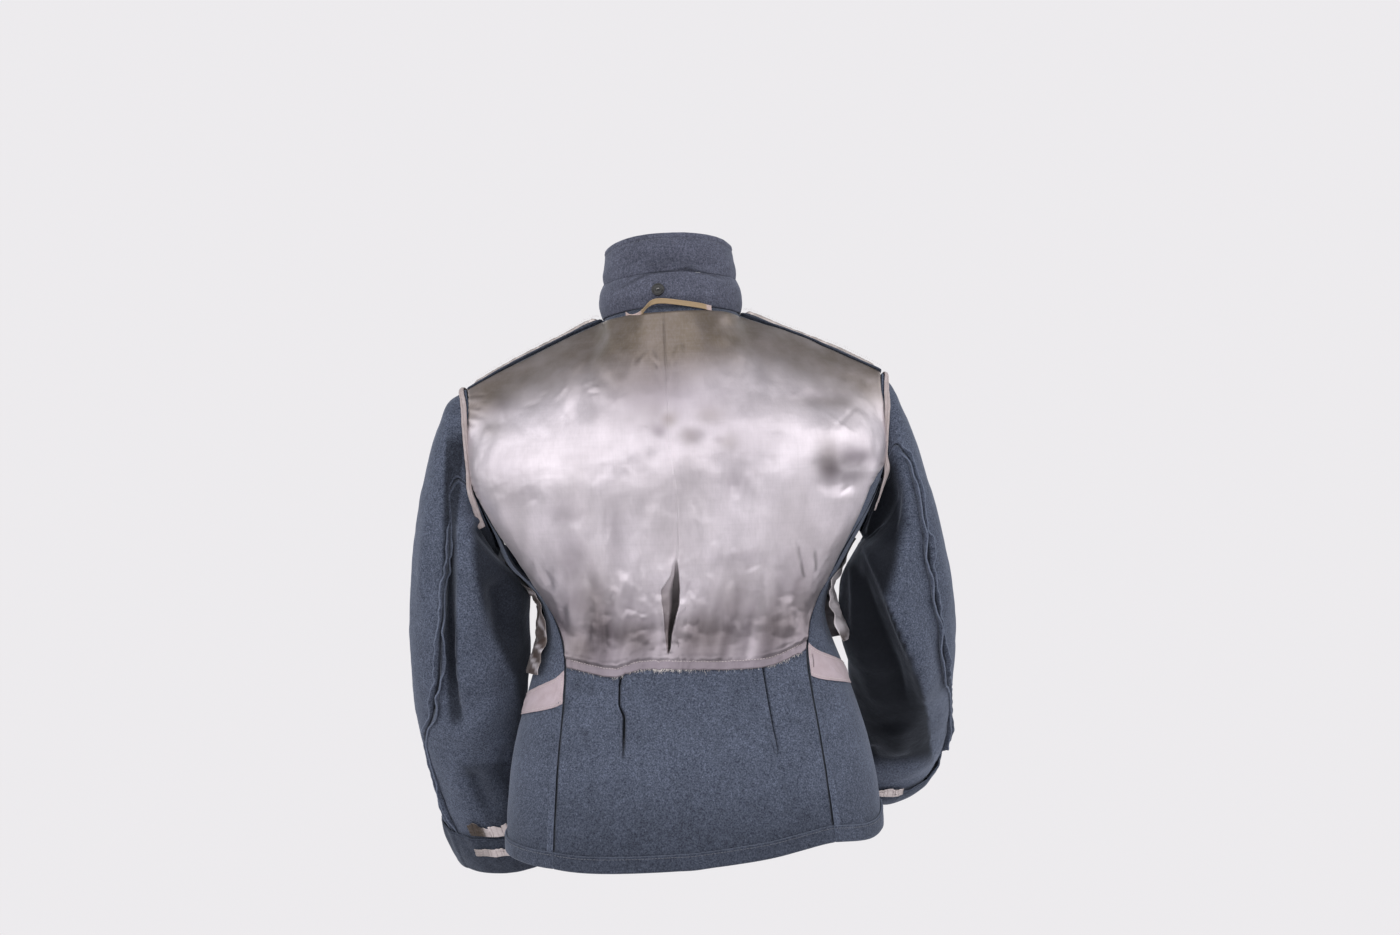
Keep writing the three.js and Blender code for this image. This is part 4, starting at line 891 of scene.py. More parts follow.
# Painted shade on the sides that lie against the body: depth, a line down its outer edge and
# one down its inner edge (points across and up), softness of each edge, fade at its top and foot.
SLEEVE_PAINTED_SHADE = {
    "left": [
        (0.8, ((213, -190), (215, -247), (210, -289), (200, -331), (183, -374), (179, -415), (181, -499)),
         ((124, -194), (127, -251), (129, -293), (130, -334), (132, -376), (134, -417), (138, -501)),
         10, 12, 30, 20),
        (0.7, ((238, -106), (242, -153), (246, -225), (250, -308), (253, -381), (251, -428)),
         ((222, -107), (225, -153), (231, -226), (235, -309), (238, -382), (237, -428)), 4, 2, 24, 20),
        (0.45, ((248, -459), (239, -486), (230, -512), (227, -538)),
         ((193, -462), (187, -488), (170, -515), (171, -541)), 10, 8, 12, 8),
    ],
    "right": [
        (0.97, ((-184, -240), (-194, -266), (-207, -302), (-220, -334), (-233, -368), (-246, -404),
                (-257, -439), (-268, -510)),
         ((-124, -237), (-122, -263), (-121, -298), (-119, -329), (-118, -362), (-116, -399),
          (-115, -433), (-113, -490)), 3, 4, 16, 26),
        (0.94, ((-225, -143), (-230, -184), (-233, -226), (-223, -267), (-208, -308), (-202, -334)),
         ((-170, -140), (-168, -182), (-166, -223), (-164, -265), (-162, -306), (-161, -332)), 16, 4, 30, 30),
    ],
}


def between(x, z, outer, inner, soft_outer, soft_inner, top, foot):
    """Share, from 0 to 1, to which places lie between two lines that run down a sleeve."""
    outer, inner = np.array(outer[::-1], float), np.array(inner[::-1], float)
    first = np.abs(np.interp(z, outer[:, 1], outer[:, 0]))
    last = np.abs(np.interp(z, inner[:, 1], inner[:, 0]))
    sign = np.where(last > first, 1, -1)
    share = smooth(sign * (np.abs(x) - first) / soft_outer + 0.5)
    share *= smooth(sign * (last - np.abs(x)) / soft_inner + 0.5)
    return share * smooth((outer[-1, 1] - z) / top) * smooth((z - outer[0, 1]) / foot)


def sampled(points, way, places):
    """Points on a line, or values on it, at places along its way."""
    return np.stack([np.interp(places, way, points[:, k]) for k in range(3)], -1)


def bump(distance, extent):
    share = np.clip(np.abs(distance) / extent, 0, 1)
    return (1 - share * share) ** 2


def even_curve(points):
    """Points at even shares of the way along a run of points."""
    way = way_along(points)
    return lambda share: sampled(points, way, share * way[-1])


def armhole_halves(side_name, side):
    """The armhole's hind and fore edge, both from the shoulder to the lowest point under the arm."""
    sheet, _, row_places, column_places = fronts[side_name]
    chest = np.searchsorted(row_places, CHEST_ROW)
    edge = ARMHOLE_EDGE
    lowest = round(SIDE_CELLS / 2 * FRONT_FINE)
    hind_rows = back_sheet[np.searchsorted(back_rows, CHEST_ROW):, -1 if side > 0 else 0][::-1]
    under = sheet[chest, :edge + 1]
    hind = np.concatenate([hind_rows, under[1:lowest + 1]])
    fore = np.concatenate([sheet[chest:, edge][::-1], under[lowest:-1][::-1]])
    return even_curve(hind), even_curve(fore)


def sleeve_ring(side_name, side, halves, along, turns):
    """A section of a sleeve: turn 0 outermost, 0.25 at the back, 0.5 innermost, 0.75 in front."""
    lines = [(i, *values) for i, values in enumerate(SLEEVES[side_name])]
    row = along * len(lines) - 1
    _, out_x, out_z, in_x, in_z, y, tilt, half_deep, bow = read_table(lines, max(row, 0))
    around = np.mod(turns, 1)
    cosine, sine = np.cos(2 * np.pi * around)[:, None], np.sin(2 * np.pi * around)[:, None]
    middle = np.array(((out_x + in_x) / 2, y, (out_z + in_z) / 2))
    across = np.array(((out_x - in_x) / 2, 0, (out_z - in_z) / 2))
    deep = np.array((0, math.cos(math.radians(tilt)), -math.sin(math.radians(tilt)))) * half_deep
    place = middle + across * cosine + deep * sine
    place[:, 0] += bow * sine[:, 0] ** 2
    rise = sum(
        r * bump(along - a, reach) * bump(around - b, spread)
        for a, reach, b, spread, r in LARGE_FOLDS[side_name]
    )
    place += unit(place - middle) * rise[:, None]
    if row < 0:
        hind, fore = halves
        start = np.where((around <= 0.5)[:, None], hind(2 * around), fore(2 * (1 - around)))
        under = ((1 - np.cos(2 * np.pi * around)) / 2) ** 2
        start[:, 0] = np.abs(start[:, 0]) + ARMHOLE_STEP + ARMHOLE_UNDER_STEP * under
        place = place * (1 + row) - start * row
    for p in place:
        if p[2] > CHEST - ARMHOLE_DROP - 12:
            continue
        _, half, behind, before, square = read_table(TORSO, p[2])
        reach = (behind if p[1] > 0 else before) + BODY_CLEARANCE
        power = 2 / square
        inside = abs(p[0] / (half + BODY_CLEARANCE)) ** power + abs(p[1] / reach) ** power
        if inside < 1:
            p[:2] *= inside ** (-1 / power)
    place[:, 0] *= side
    return place


def sleeve_half(side_name, side, halves, upper):
    """Fine sheet of one half of a sleeve, with its places along and round."""
    alongs = np.concatenate([[0, 0.018], np.arange(1, SLEEVE_CELLS + 1) / SLEEVE_CELLS])
    count = UPPER_CELLS if upper else UNDER_CELLS
    places = np.arange(-2, count + 3)
    net, rounds = [], []
    for along in alongs:
        _, hind_left, hind_right, fore = read_table(SLEEVE_SEAMS, along)
        hind = hind_left if side > 0 else hind_right
        start, stop = (fore, hind + 1) if upper else (hind, fore)
        turns = start + (stop - start) * places / count
        net.append(sleeve_ring(side_name, side, halves, along, turns))
        rounds.append(turns)
    rows = np.concatenate([[0, 0.5], cells(1, SLEEVE_CELLS + 1, 7)])
    columns = cells(2, count + 2, 6)
    sheet = refine(np.array(net), rows, columns)
    around = refine(np.array(rounds)[..., None], rows, columns)[..., 0]
    along = np.interp(rows, np.arange(len(alongs)), alongs)
    return sheet, np.broadcast_to(along[:, None], around.shape), around


def round_facing(sheet, closed=False):
    """Outward directions over a sheet that goes round, away from the middle of each of its rows."""
    normal = facing(sheet, (0, 0, 0), closed)
    away = np.sum(normal * (sheet - sheet.mean(axis=1, keepdims=True)))
    return normal * (-1 if away < 0 else 1)


def with_fins(sheet, normal, along, seed, shown):
    """Adds the standing allowances at both long edges, wavy; they lie flat where shown is 0."""
    tall = ALLOWANCE * (1 - 0.75 * smooth((along[:, 0] - 0.88) / 0.05)) * (0.06 + 0.94 * shown)
    tall = tall * (1 - FIN_LOW_BY * bump(along[:, 0] - FIN_LOW_AT, FIN_LOW_REACH))
    way = along[:, 0] * SLEEVE_LONG
    edges = []
    for edge, nxt, turn in ((0, 2, 0.0), (-1, -3, 1.7)):
        back = unit(sheet[:, nxt] - sheet[:, edge])
        wave = waves(way / 21, seed * 3.7 + turn, 0.5)
        ripple = waves(way / 9, seed * 3.7 + turn, 4.5)
        rows = []
        for height in FIN_HEIGHTS:
            lean = 1.2 + 2.4 * height + (5.6 * wave + 2.6 * ripple) * height * (tall / ALLOWANCE)
            reach = tall * height * (0.86 + 0.22 * ripple)
            rows.append(sheet[:, edge] + normal[:, edge] * reach[:, None] + back * lean[:, None])
        edges.append(rows)
    return np.concatenate([np.stack(edges[0][::-1], axis=1), sheet, np.stack(edges[1], axis=1)], axis=1)


sleeves = {}
for side_name, side in SIDES:
    halves = armhole_halves(side_name, side)
    for upper in (False, True):
        sheet, along, around = sleeve_half(side_name, side, halves, upper)
        normal = round_facing(sheet)
        hind_side = smooth((normal[..., 1] + 0.25) / 0.4)
        swell = 1.35 * folds(sheet[..., 0], sheet[..., 2], SLEEVE_CREASES[side_name]) * hind_side
        swell += unrest(sheet, 42, 8 + side + upper) * 1.3
        sheet = sheet + normal * (swell * smooth(along / 0.06))[..., None]
        sleeves[side_name, upper] = (sheet, normal, along, around)
        body = setback(sheet, SLEEVE_SETBACK, SLEEVE_SETBACK)
        shown = smooth((along[:, 0] - FINS_FROM[side_name]) / 0.09)
        body = with_fins(body, normal, along, 3 * side + upper, shown)
        # Painted shade where the sleeve lies against the body, and in the channels beside its standing
        # allowances.
        hidden = smooth((body[..., 1] - np.mean(body[..., 1], axis=1, keepdims=True) + 12) / 16)
        dark = np.zeros(body.shape[:2])
        for depth, *edges in SLEEVE_PAINTED_SHADE[side_name]:
            dark = np.maximum(dark, depth * between(body[..., 0], body[..., 2], *edges) * hidden)
        dark[:, :FIN_COLUMNS] *= FIN_SHADE
        dark[:, -FIN_COLUMNS:] *= FIN_SHADE
        for seam in (slice(FIN_COLUMNS - 1, FIN_COLUMNS + 1), slice(-FIN_COLUMNS - 1, -FIN_COLUMNS + 1)):
            dark[:, seam] = np.maximum(dark[:, seam], 0.7 * (0.35 + 0.65 * shown)[:, None])
        half_name = ("sleeve_upper_" if upper else "sleeve_under_") + side_name
        half = cloth(half_name + "_cloth", body, round_facing(body), WOOL, wool, marks={"shade": dark})
        flat = (0.23, 0.57) if upper else (0.19, 0.50)
        wear(half, half_name)


# ---- Back lining ----
# Satin over the back from the shoulders to the waist, joined along the centre back, where the seam
# opens into a pleat at its foot. The foot is turned under and stitched, and has worn and frayed.
SATIN = 0.6
ON_BACK = WOOL / 2 + GAP + 1.4
ON_FRONT = ON_BACK + 0.5
FOOT_BAND = 8.5
LINING_FOLDS = [
    (-4.2, 12.9, 0.2, (122, -224), (108, -250), (93, -271), (83, -291)),
    (2.5, 8.19, 0, (113, -209), (94, -238), (83, -266), (80, -291)),
    (-1.9, 16.9, 0, (51, -197), (55, -277)),
    (-1.1, 2, 0.4, (72, -194), (74, -211), (77, -236)),
    (1.4, 11.7, 0, (23, -173), (27, -253), (34, -294)),
    (0.982, 6.65, 0, (63, -308), (49, -317)),
    (0.982, 5.9, 0, (45, -325), (38, -339)),
    (0.722, 5.9, 0, (64, -343), (54, -349)),
    (0.689, 4.22, 0, (35, -334), (34, -346)),
    (-0.819, 4.42, 0, (57, -321), (45, -327)),
    (-0.884, 4.42, 0.3, (62, -299), (44, -305), (40, -314)),
    (-0.722, 4.42, 0, (54, -333), (48, -342)),
    (-2.04, 5, 0.3, (82, -291), (82, -322), (85, -354)),
    (1.7, 6, 0, (89, -285), (93, -352)),
    (1.1, 2.7, 0, (76, -302), (78, -347)),
    (-2.12, 8.19, 0, (99, -291), (101, -341)),
    (1.53, 4.5, 0, (108, -250), (114, -280), (114, -330)),
    (1.7, 7.8, 0, (-12, -186), (-23, -225), (-24, -251), (-12, -267)),
    (-0.8, 2.2, 0.3, (-13, -191), (-17, -205), (-21, -220)),
    (-2.2, 7.02, 0, (-3, -280), (-17, -286)),
    (1.8, 4.6, 0.3, (13, -321), (8, -311), (-0, -301), (-9, -298)),
    (-2.7, 7.02, 0, (2, -317), (-16, -324)),
    (0.8, 2.4, 0, (6, -335), (3, -346)),
    (0.35, 2, 0, (-27, -222), (-41, -210)),
    (-0.77, 1.5, 0, (-32, -238), (-39, -233)),
    (-1.7, 18.2, 0, (-48, -182), (-68, -183)),
    (-2.1, 10.5, 0, (-68, -248), (-76, -270)),
    (-2, 5, 0.3, (-83, -258), (-86, -299), (-85, -350)),
    (1.5, 5, 0, (-92, -268), (-92, -309), (-92, -351)),
    (-2.2, 7.2, 0, (-62, -298), (-63, -349)),
    (-2.1, 10.5, 0, (-37, -297), (-37, -342)),
    (2.1, 5.4, 0, (-50, -272), (-48, -348)),
    (2.1, 6.3, 0, (-108, -290), (-104, -340)),
    (1.3, 3.6, 0, (-75, -288), (-73, -349)),
    (-2.4, 1.98, 0.3, (-119, -240), (-122, -260), (-126, -282)),
    (2.1, 3.6, 0, (-113, -239), (-121, -285)),
    (2, 2.7, 0, (-132, -248), (-134, -276)),
    (-2.4, 13, 0, (-132, -178), (-168, -186), (-204, -190)),
    (2.8, 13, 0, (-116, -134), (-161, -129), (-210, -137)),
    (-1.7, 10.4, 0, (-123, -94), (-181, -101)),
    (0.85, 1.8, 0.3, (-143, -105), (-164, -124), (-187, -143)),
    (-0.85, 1.6, 0.3, (-157, -132), (-173, -119), (-189, -105)),
    (-1, 2, 0, (-163, -196), (-182, -185)),
    (-0.94, 1.6, 0.3, (25, -47), (18, -54), (10, -63)),
    (1.3, 4, 0, (-11, -34), (-2, -53)),
    (1.4, 5, 0, (-2, -46), (4, -84)),
    (0.85, 1.5, 0, (-114, -93), (-127, -94)),
    (0.85, 1.6, 0, (94, -72), (78, -70)),
    (1, 2, 0, (89, -78), (74, -77)),
    (-0.77, 1.6, 0, (89, -81), (75, -80)),
    (-0.94, 1.4, 0, (138, -81), (128, -77)),
    (-0.85, 1.5, 0, (160, -90), (146, -90), (134, -84)),
    (0.94, 2.5, 0, (124, -89), (109, -71)),
    (-1.4, 1.5, 0.3, (118, -104), (113, -109), (109, -116)),
    (1.3, 4, 0, (39, -59), (22, -44), (14, -58)),
    (-1.7, 10.4, 0, (199, -109), (177, -100)),
    (-0.7, 15, 0, (157, -175), (148, -193)),
    (-0.6, 12, 0, (128, -196), (119, -205)),
    (2.2, 9, 0, (60, -262), (66, -300), (62, -340)),
    (-1.8, 8, 0, (24, -262), (30, -300), (30, -345)),
    (1.6, 8, 0, (-30, -262), (-28, -300), (-30, -345)),
    (-1.6, 7, 0.2, (-98, -225), (-104, -262), (-102, -320)),
    (1.6, 10, 0, (132, -245), (118, -290), (112, -330)),
]
# Height, edge of the wearer's left flap, edge of the right flap, depth.
PLEAT = [
    (-349, 19, 17.6, 0.6), (-344, 19.6, 15.4, 1), (-330, 20.2, 13.5, 1), (-313, 20.6, 8.5, 1),
    (-300, 22, 4.6, 1), (-285, 22.5, 3.2, 0.9), (-270, 12, 3.4, 0.8), (-257, 8.5, 4, 0.35),
    (-252, 6, 5, 0),
]
# Across, height of the lining's foot.
LINING_FOOT = [
    (-140, -347), (-126, -352), (-112, -358), (-90, -366), (-75, -368), (-40, -368), (0, -366), (18, -365),
    (36, -364), (52, -365), (70, -371), (84, -370), (100, -366), (121, -361), (135, -360),
]
# Heights, and how far the right side edge is drawn back there.
DRAWN_BACK = ((-300, -250, -224, -190, -177, -166), (0, 4, 10, 18, 14, 0))
# Height and distance from the middle of the seam down the centre back.
CENTRE_SEAM = ((-262, -250, -215, -182, -144, -72, 0), (3.6, 3, 1.4, 1.2, 6, 6.4, 7))
# Puckers at the armholes: height, depth, reach inwards, rise of the inner end, whether on both sides.
PUCKERS = [
    (-83, 1.3, 22, 2, False), (-88, 0.7, 11, -3, False), (-92.5, 1.2, 17, -1, False),
    (-98, 0.9, 13, -5, False), (-102.5, 0.6, 20, -2, False), (-108, 1, 9, -6, False),
    (-168, 0.6, 6, 2, True), (-174, 0.6, 6, -3, True), (-181, 0.6, 6, -1, True), (-187, 0.6, 6, -5, True),
]
# How many of the first puckers get painted shadow in their creases.
SHADOWED_PUCKERS = 6
# Across, height, half width, half height, depth of a stain.
LINING_STAINS = [
    (6, -112, 9, 8, 0.5), (-35, -110, 14, 9, 0.35), (-14, -130, 12, 10, 0.32), (-52, -138, 10, 8, 0.3),
    (-18, -150, 26, 30, 0.1), (40, -60, 14, 10, 0.4), (26, -100, 22, 30, 0.16),
    (-152, -158, 14, 20, 0.35), (-165, -100, 40, 9, 0.45), (-100, -60, 60, 10, 0.25),
    (90, -300, 20, 40, 0.38),
    (-20, -330, 36, 26, 0.34), (-95, -320, 30, 34, 0.3), (52, -330, 22, 18, 0.3), (110, -340, 18, 20, 0.4),
    (-50, -300, 24, 40, 0.22), (-120, -310, 16, 40, 0.25), (60, -70, 6, 5, 0.4), (190, -112, 16, 10, 0.3),
]
# Clouds of painted shade, where the satin's sheen is darker, and the darkest of all, painted shadow, as the
# stains.
PAINTED_SHADE_CLOUDS = [
    (186, -88, 20, 13, 0.68), (157, -184, 22, 10, 0.24), (118, -203, 17, 12, 0.46), (115, -251, 17, 30, 0.57),
    (66, -221, 9, 32, 0.35), (91, -281, 9, 24, 0.47), (-56, -180, 22, 17, 0.34), (-57, -257, 34, 12, 0.35),
    (-156, -169, 14, 18, 0.9), (-182, -158, 24, 11, 0.9), (-174, -179, 18, 8, 0.6), (-146, -93, 30, 9, 0.47),
    (136, -317, 22, 26, 0.74), (86, -332, 16, 28, 0.61), (109, -290, 26, 24, 0.41), (-18, -336, 18, 26, 0.47),
    (-62, -298, 20, 40, 0.30), (-118, -290, 26, 34, 0.46), (-96, -340, 30, 22, 0.41), (16, -124, 9, 7, 0.47),
    (-20, -130, 14, 9, 0.41), (-44, -135, 10, 6, 0.34), (175, -154, 24, 18, 0.30), (-183, -168, 14, 12, 0.30),
    (205, -55, 40, 10, 0.30), (54, -293, 10, 40, 0.20), (-36, -317, 12, 30, 0.30), (-76, -324, 10, 34, 0.30),
    (-7, -285, 10, 14, 0.30), (-68, -140, 46, 36, 0.24),
]
PAINTED_SHADOW_CLOUDS = [(-168, -161, 26, 14, 0.42)]
# Bands of painted shade across the yoke: height, half height, depth.
PAINTED_SHADE_BANDS = [(-118, 55, 0.2), (-90, 28, 0.5)]
# What is left of a satin's red, green and blue under painted shade, its worn rim, and its painted shadow.
SATIN_PAINTED_SHADE = (0.285, 0.265, 0.285)
SATIN_RIM = (0.66, 0.58, 0.56)
SATIN_PAINTED_SHADOW = (0.012, 0.010, 0.010)
# How far the satin can sink towards the wool, and how softly it comes to rest there.
LINING_LOWEST = 1.1
# Places on the net between which the columns stand closer, at the pleat.
BY_PLEAT = (9.4, 12.7)
PLEAT_STEP = 0.035
# Where the foot is most torn, and over what width.
TORN = [(40, 26), (-112, 20)]
# How far the sides reach past the seams above the chest, and over how many columns.
SIDE_REACH, SIDE_REACH_COLUMNS = 4.6, 8
# Below these heights the satin is darkened with painted shade, over what height and by how much.
PAINTED_SHADE_FOOT = (-268, 42, 0.4)
PAINTED_SHADE_LOWEST = (-304, 26, 0.68)
SMOOTHINGS = 120
SLACK_FROM = -225
CELL_ROWS = 12
YOKE_CELL = 28


def satin_material(name, colour, dull, stain, gloss=(0.62, 0.88)):
    """Worn satin: smooth and glossy, crossed by fine threads, stained brown in soft clouds, and darkened
    where marked with painted shade and painted shadow.
    """
    paint = Paint(name, {"Specular IOR Level": 0.55, "Sheen Weight": 0.12, "Sheen Roughness": 0.4})
    base = paint.blended(paint.spread(paint.clouds(13, 5), 0.38, 0.72, 0, 0.8), colour, dull)
    long_clouds = paint.spread(paint.clouds(42, 4, (1, 1, 0.45)), 0.38, 0.66, 0, 0.24)
    base = paint.blended(long_clouds, base, times(dull, 0.5))
    base = paint.blended(paint.marked("painted_shade"), base, tuple(c * left for c, left in zip(colour, SATIN_PAINTED_SHADE)))
    uneven = {0: paint.marked("stain"), 1: paint.spread(paint.clouds(34, 4), 0.3, 0.7, 0.84, 1.12)}
    stained = paint.node("Math", uneven, operation="MULTIPLY", use_clamp=True)
    base = paint.blended(stained.outputs["Value"], base, stain)
    for stretch, share in (((1, 1, 0.05), 0.12), ((0.05, 0.05, 1), 0.09)):
        threads = paint.spread(paint.clouds(520, 2, stretch), 0.42, 0.75, 0, share)
        base = paint.blended(threads, base, times(dull, 0.62))
    base = paint.blended(paint.spread(paint.marked("edge"), 0, 1, 0, 0.6), base, SATIN_RIM)
    base = paint.blended(paint.marked("deep"), base, SATIN_PAINTED_SHADOW)
    paint.lead(base, "Base Color")
    height = paint.node("SeparateXYZ", {"Vector": paint.place()}).outputs["Z"]
    paint.lead(paint.spread(height, -0.20, -0.30, *gloss), "Metallic")
    paint.lead(paint.spread(paint.clouds(26, 4), 0.3, 0.7, 0.36, 0.46), "Roughness")
    pucker = paint.bumps(paint.clouds(60, 3), 0.3, 0.0016)
    paint.lead(paint.bumps(paint.clouds(700, 2, (1, 1, 0.08)), 0.15, 0.0004, pucker), "Normal")
    return paint.material


def pleat_rise(x, z):
    """The pleat: a raised flap on the wearer's left, a sunken inner layer, a slit, the right flap; with the
    shares that get painted shade and shadow.
    """
    heights, *columns = zip(*PLEAT)
    left, right, deep = (np.interp(z, heights, column) for column in columns)
    deep = np.where((z > heights[0]) & (z < heights[-1]), deep, 0)
    wide = np.maximum(left - right, 0.5)
    inside = smooth((left + 0.25 - x) / 0.5) * smooth((x - right + 0.4) / 0.8)
    layer = np.interp((x - right) / wide, [0, 0.4, 0.6, 1], [-3.2, -3.2, -0.4, 0.4])
    left_flap = 2.6 * np.exp(-np.maximum(x - left, 0) / 7) * (x >= left)
    right_flap = 2.2 * np.exp(-np.maximum(right - x, 0) / 5) * smooth((right - x) / 1.2)
    slot = inside * smooth((0.6 - (x - right) / wide) / 0.25)
    return deep * (layer * inside + (left_flap + right_flap) * (1 - inside)), deep * inside, deep * slot


def foot_of(rows, foot):
    """Cuts the columns of a sheet off at the given heights, and spreads their rows again."""
    made = rows.copy()
    count = np.arange(len(rows))
    share = np.linspace(0, 1, len(rows))
    for c in range(rows.shape[1]):
        lowest = np.interp(foot[c], rows[:, c, 2], count)
        made[:, c] = sampled(rows[:, c], count, share * (len(rows) - 1) + lowest * (1 - share) ** 6)
    return made


satin = satin_material("satin_back", (0.75, 0.68, 0.735), (0.55, 0.495, 0.525), (0.150, 0.118, 0.092))
lining_rows = np.concatenate([cells(5.4, CHEST_ROW, 13), cells(CHEST_ROW, TOP_ROW, CELL_ROWS)[1:]])
by_pleat = np.arange(*BY_PLEAT, PLEAT_STEP)
lining_columns = np.unique(np.concatenate([cells(0, 2 * CENTRE_COLUMN, 9), by_pleat]))
lining = refine(back_net, lining_rows, lining_columns)
# The satin runs smoothly below the corners of the neck, and bridges the bend between chest and yoke.
below_edge = smooth((lining[-1:, :, 2] - lining[..., 2] - 5) / 16) * smooth((lining[..., 2] + 150) / 45)
for _ in range(SMOOTHINGS):
    near_neck = 0.5 * below_edge * bell(np.abs(lining[..., 0]) - 62, 17)
    lining[:, 1:-1] += near_neck[:, 1:-1, None] * ((lining[:, :-2] + lining[:, 2:]) / 2 - lining[:, 1:-1])
for _ in range(SMOOTHINGS):
    near_bend = 0.5 * bell(lining[1:-1, :, 2:] - CHEST, 50)
    lining[1:-1] += near_bend * ((lining[:-2] + lining[2:]) / 2 - lining[1:-1])
lining = lining + facing(lining, INSIDE) * ON_BACK
# Its foot is cut along an uneven line, most torn at two places.
foot = np.interp(lining[10, :, 0], *zip(*LINING_FOOT))
across = lining[0, :, 0]
ragged = waves(across / 5, 3, 0) + 0.6 * waves(across / 1.7, 8, 0)
torn = sum(bell(across - middle, wide) for middle, wide in TORN)
lining = foot_of(lining, foot + ragged * (0.7 + 1.9 * torn))
lining = lining[:-3, 2:-2]
foot = foot[2:-2]
# Its sides reach a little past the seams above the chest.
for edge, step in ((0, 1), (-1, -1)):
    for k in range(SIDE_REACH_COLUMNS):
        column = edge + step * k
        way = unit(lining[:, column] - lining[:, column + step * 3])
        reach = SIDE_REACH * (1 - k / SIDE_REACH_COLUMNS) * smooth((lining[:, column, 2] + 186) / 50)
        lining[:, column] += way * reach[:, None]
# Below the right armhole the satin has drawn back from the seam, and the wool shows beside it.
count = np.arange(lining.shape[1])
for row in lining:
    drawn_in = np.interp(row[0, 2], *DRAWN_BACK) / np.linalg.norm(row[1] - row[0])
    row[:] = sampled(row, count, count + drawn_in * np.clip(1 - count / 45, 0, 1))
lining_facing = facing(lining, INSIDE)
across, height = lining[..., 0], lining[..., 2]
lift = folds(across, height, LINING_FOLDS)
lift += unrest(lining, 70, 21) * 2.2 + unrest(lining, 26, 25) * 0.7
slack = smooth((SLACK_FROM - height) / 45)
lift += slack * (unrest(lining, 36, 27) * 1.9 + unrest(lining, 15, 29) * 0.5)
from_seam = across - np.interp(height, *CENTRE_SEAM)
lift += (0.35 * bell(from_seam - 2.4, 1.6) - 0.55 * bell(from_seam, 0.7)) * smooth((height + 262) / 8)
drop, inside, slot = pleat_rise(across, height)
above_foot = height - foot[None, :]
band = smooth((FOOT_BAND + 2 - above_foot) / 3)
lift = lift * (1 - 0.75 * band) + drop
# Gathers along the stitching of the foot, the swell above it and the groove of the stitches.
gather = np.sin(across / 1.75 + 2.5 * np.sin(across / 9) + height / 5)
lift += 0.55 * gather * bell(above_foot - FOOT_BAND, 5)
lift += 1.1 * bell(above_foot - FOOT_BAND - 4, 3)
lift -= 0.9 * bell(above_foot - FOOT_BAND, 0.8)
lift += 0.6 * waves(across / 4.5, height / 9, 5) * band
pucker_runs, pucker_folds = [], []
for pucker, size, reach, rise, both in PUCKERS:
    for edge in (0, -1) if both else (-1,):
        near = np.argmin(np.abs(height[:, edge] - pucker - (4 if edge else 0)))
        x, z = across[near, edge], height[near, edge]
        inward = -1 if x > 0 else 1
        run = [(x - inward * 8, z + 1), (x + inward * reach, z + rise)]
        pucker_runs.append(run)
        pucker_folds.append((-size, 1.2, 0.2, *run))
        pucker_folds.append((size * 0.6, 1.6, 0, (x - inward * 6, z + 3.4), (x + inward * 13, z)))
lift += folds(across, height, pucker_folds)
lowest = -LINING_LOWEST - LINING_ROOM * under_lining(lining)
lift = lowest + LINING_LOWEST * np.log1p(np.exp(np.clip((lift - lowest) / LINING_LOWEST, -30, 30))) - 0.4
lining = lining + lining_facing * lift[..., None]
# The yoke is stained brown from the neck down, most at its middle; it also gets painted shade.
from_top = (len(lining) - 1 - np.arange(len(lining)))[:, None] / CELL_ROWS * YOKE_CELL
yoke = smooth(1 - (from_top - 30) / (62 + 10 * np.sin(across / 37)))
yoke *= 0.99 - 0.16 * smooth((np.abs(across - 10) - 50) / 70)
# Inside the pleat the brown also stands for painted shade.
stain = np.clip(np.maximum(yoke, spots_at(across, height, LINING_STAINS)) + inside * 0.3, 0, 1)
# Painted shade over clouds, the lower satin, the foot band, the pleat's inner layer, the armhole puckers and
# the yoke, and near-black painted shadow in the pleat's slit, the darkest clouds and the pucker creases.
painted_shade = spots_at(across, height, PAINTED_SHADE_CLOUDS)
low, over, most = PAINTED_SHADE_FOOT
painted_shade = painted_shade + most * smooth((low - height) / over) * (1 - painted_shade)
low, over, most = PAINTED_SHADE_LOWEST
painted_shade = painted_shade + most * smooth((low - height) / over) * (1 - painted_shade) * (1 - 0.12 * band) + 0.5 * inside
painted_shade += folds(across, height, [(0.5, 1.9, 0, *run) for run in pucker_runs])
dull = sum(depth * bell(height - middle, high) for middle, high, depth in PAINTED_SHADE_BANDS) + 0.9 * yoke
painted_shade += dull * bell(across - 5, 85) + 0.26 * band
painted_crease_shadow = folds(across, height, [(0.24, 0.9, 0, *run) for run in pucker_runs[:SHADOWED_PUCKERS]])
deep = np.clip(0.94 * slot + spots_at(across, height, PAINTED_SHADOW_CLOUDS) + painted_crease_shadow, 0, 1)
# Broad streaks of painted sheen and shade run down the slack foot, and painted shadow darkens it lowest down.
streaks = unrest(np.stack([across + 0.3 * height, 0 * across, 0.1 * height], -1), 24, 61)
painted_shade += slack * (1 - band) * 0.3 * streaks
deep += smooth((-300 - height) / 34) * (0.26 + 0.3 * streaks) * (1 - 0.4 * band)
lining_marks = {"stain": stain, "painted_shade": np.clip(painted_shade, 0, 1), "deep": np.clip(deep, 0, 1)}
piece = cloth("back_lining_cloth", lining, facing(lining, INSIDE), SATIN, satin, marks=lining_marks)
wear(piece, "back_lining")


